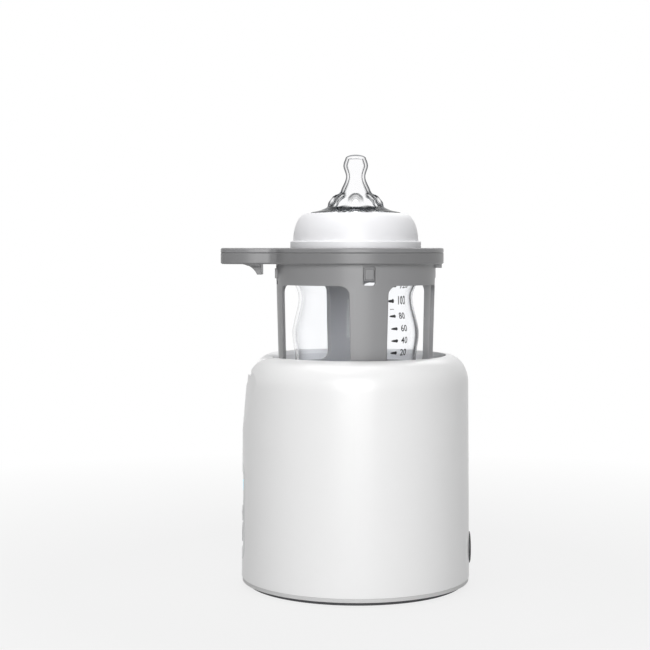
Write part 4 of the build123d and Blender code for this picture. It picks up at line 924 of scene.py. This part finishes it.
def power_symbol(at):
    """A broken ring with a bar in its gap."""
    deselect_everything()
    bpy.ops.mesh.primitive_torus_add(major_radius=POWER_RING_RADIUS, minor_radius=POWER_LINE_RADIUS,
                                     major_segments=48, minor_segments=8)
    symbol = bpy.context.object
    select_vertices(symbol, lambda co: co.y > 0 and abs(co.x) < 0.8 * MM)
    bpy.ops.mesh.delete(type="VERT")
    bpy.ops.mesh.select_all(action="DESELECT")
    bpy.ops.mesh.select_mode(type="EDGE")
    bpy.ops.mesh.select_non_manifold(extend=False)
    bpy.ops.mesh.edge_face_add()
    bpy.ops.mesh.primitive_cylinder_add(vertices=10, radius=POWER_LINE_RADIUS, depth=2.0 * MM,
                                        location=(0, 1.5 * MM, 0), rotation=(math.radians(90), 0, 0))
    bpy.ops.object.mode_set(mode="OBJECT")
    symbol.scale = (1, 1, 0.3)
    symbol.rotation_euler = (math.radians(90), 0, 0)
    symbol.location = at
    return symbol


class WARMER_OT_studio(bpy.types.Operator):
    """Sets up the pale floor, the soft lamps, the white surroundings and the camera"""

    bl_idname = "warmer.studio"
    bl_label = "Set up the studio"

    def execute(self, context):
        studio = context.scene.warmer_studio
        floor_piece(studio.floor_lift)
        surroundings(studio.ambient)
        soft_lamp("key_lamp", (1.45, 0.0, 0.42), 0.9, studio.key_power)
        soft_lamp("top_lamp", (0.10, -0.15, 1.25), 1.0, studio.top_power)
        soft_lamp("back_lamp", (-0.9, 0.25, 1.15), 1.0, studio.back_power)
        bpy.ops.object.camera_add(
            location=(studio.camera_distance, 0, studio.camera_height),
            rotation=(math.radians(90) - studio.camera_pitch, 0, math.radians(90) + studio.camera_yaw))
        camera = context.object
        camera.name = "camera"
        camera.data.sensor_width = 36.0
        camera.data.lens = studio.lens
        camera.data.clip_start = 0.02
        context.scene.camera = camera
        context.scene.view_settings.view_transform = "Standard"
        return {"FINISHED"}


def looked_at(tree, x, y):
    """An output that is 1 for what the camera sees directly, mirrored or through glass, and else 0."""
    path = place(tree, "ShaderNodeLightPath", x, y)
    direct = place(tree, "ShaderNodeMath", x + 200, y, operation="ADD", use_clamp=True)
    through = place(tree, "ShaderNodeMath", x + 400, y, operation="ADD", use_clamp=True)
    tree.links.new(path.outputs["Is Camera Ray"], direct.inputs[0])
    tree.links.new(path.outputs["Is Glossy Ray"], direct.inputs[1])
    tree.links.new(direct.outputs["Value"], through.inputs[0])
    tree.links.new(path.outputs["Is Transmission Ray"], through.inputs[1])
    return through.outputs["Value"]


def floor_piece(lift):
    """Pale tabletop that fades to white where the camera looks past the object."""
    deselect_everything()
    bpy.ops.mesh.primitive_plane_add(size=FLOOR_SIZE, location=(0, 0, 0))
    floor = bpy.context.object
    floor.name = "floor"
    material, tree, shader = blank_material("Pale tabletop")
    grain = use_group(tree, "grain", -700, -300, Grain_size=500.0, Wave_size=4.0, Wave_share=0.3)
    tint = place(tree, "ShaderNodeMix", 100, 200, data_type="RGBA")
    tint.inputs["A"].default_value = (0.46, 0.46, 0.46, 1)
    tint.inputs["B"].default_value = (0.49, 0.49, 0.49, 1)
    tree.links.new(grain.outputs["Mottle"], tint.inputs["Factor"])
    tree.links.new(tint.outputs["Result"], shader.inputs["Base Color"])
    shader.inputs["Roughness"].default_value = 0.7
    shader.inputs["Specular IOR Level"].default_value = 0.2
    coordinates = place(tree, "ShaderNodeTexCoord", -900, 500)
    distance = place(tree, "ShaderNodeVectorMath", -700, 500, operation="LENGTH")
    fade = place(tree, "ShaderNodeMapRange", -500, 500)
    fade.inputs["From Min"].default_value = 0.15
    fade.inputs["From Max"].default_value = 0.50
    fade.inputs["To Min"].default_value = lift
    share = place(tree, "ShaderNodeMath", -100, 700, operation="MULTIPLY")
    white = place(tree, "ShaderNodeEmission", 500, 300)
    white.inputs["Strength"].default_value = 1.0
    mix = place(tree, "ShaderNodeMixShader", 700, 200)
    tree.links.new(coordinates.outputs["Object"], distance.inputs[0])
    tree.links.new(distance.outputs["Value"], fade.inputs["Value"])
    tree.links.new(looked_at(tree, -900, 800), share.inputs[0])
    tree.links.new(fade.outputs["Result"], share.inputs[1])
    tree.links.new(share.outputs["Value"], mix.inputs[0])
    tree.links.new(shader.outputs["BSDF"], mix.inputs[1])
    tree.links.new(white.outputs["Emission"], mix.inputs[2])
    tree.links.new(mix.outputs["Shader"], tree.nodes["Material Output"].inputs["Surface"])
    floor.data.materials.append(material)


def surroundings(ambient):
    """White world for what is seen directly, mirrored or through glass, and a dim one for room light."""
    world = bpy.context.scene.world or bpy.data.worlds.new("Surroundings")
    bpy.context.scene.world = world
    world.use_nodes = True
    tree = world.node_tree
    tree.nodes.clear()
    output = place(tree, "ShaderNodeOutputWorld", 500, 0)
    background = place(tree, "ShaderNodeBackground", 300, 0)
    background.inputs["Color"].default_value = (1, 1, 1, 1)
    level = place(tree, "ShaderNodeMapRange", 100, 0)
    level.inputs["To Min"].default_value = ambient
    level.inputs["To Max"].default_value = 1.0
    tree.links.new(looked_at(tree, -600, 0), level.inputs["Value"])
    tree.links.new(level.outputs["Result"], background.inputs["Strength"])
    tree.links.new(background.outputs["Background"], output.inputs["Surface"])


def soft_lamp(name, at, side, power):
    """A large square lamp that looks at the middle of the object."""
    aim = Vector((0, 0, 0.10)) - Vector(at)
    bpy.ops.object.light_add(type="AREA", location=at, rotation=aim.to_track_quat("-Z", "Y").to_euler())
    lamp = bpy.context.object
    lamp.name = name
    lamp.data.shape = "SQUARE"
    lamp.data.size = side
    lamp.data.energy = power


class WARMER_PT_panel(bpy.types.Panel):
    """Steps and sizes of the bottle warmer"""

    bl_idname = "WARMER_PT_panel"
    bl_label = "Bottle warmer"
    bl_space_type = "VIEW_3D"
    bl_region_type = "UI"
    bl_category = "Bottle warmer"

    def draw(self, context):
        scene = context.scene
        for group in (scene.warmer_finishes, scene.warmer_bottle, scene.warmer_studio):
            box = self.layout.box()
            for name in group.__annotations__:
                box.prop(group, name)
        for step in STEPS:
            self.layout.operator(step.bl_idname)


STEPS = (WARMER_OT_finishes, WARMER_OT_teat, WARMER_OT_bottle_scale, WARMER_OT_panel_marks,
         WARMER_OT_studio)
GROUP_TYPES = (WarmerFinishes, WarmerBottle, WarmerStudio)


def register():
    for kind in GROUP_TYPES + STEPS + (WARMER_PT_panel,):
        bpy.utils.register_class(kind)
    bpy.types.Scene.warmer_finishes = bpy.props.PointerProperty(type=WarmerFinishes)
    bpy.types.Scene.warmer_bottle = bpy.props.PointerProperty(type=WarmerBottle)
    bpy.types.Scene.warmer_studio = bpy.props.PointerProperty(type=WarmerStudio)


def unregister():
    del bpy.types.Scene.warmer_studio
    del bpy.types.Scene.warmer_bottle
    del bpy.types.Scene.warmer_finishes
    for kind in reversed(GROUP_TYPES + STEPS + (WARMER_PT_panel,)):
        bpy.utils.unregister_class(kind)


def main():
    register()
    bpy.ops.warmer.finishes()
    bpy.ops.warmer.teat()
    bpy.ops.warmer.bottle_scale()
    bpy.ops.warmer.panel_marks()
    bpy.ops.warmer.studio()


if __name__ == "__main__":
    main()
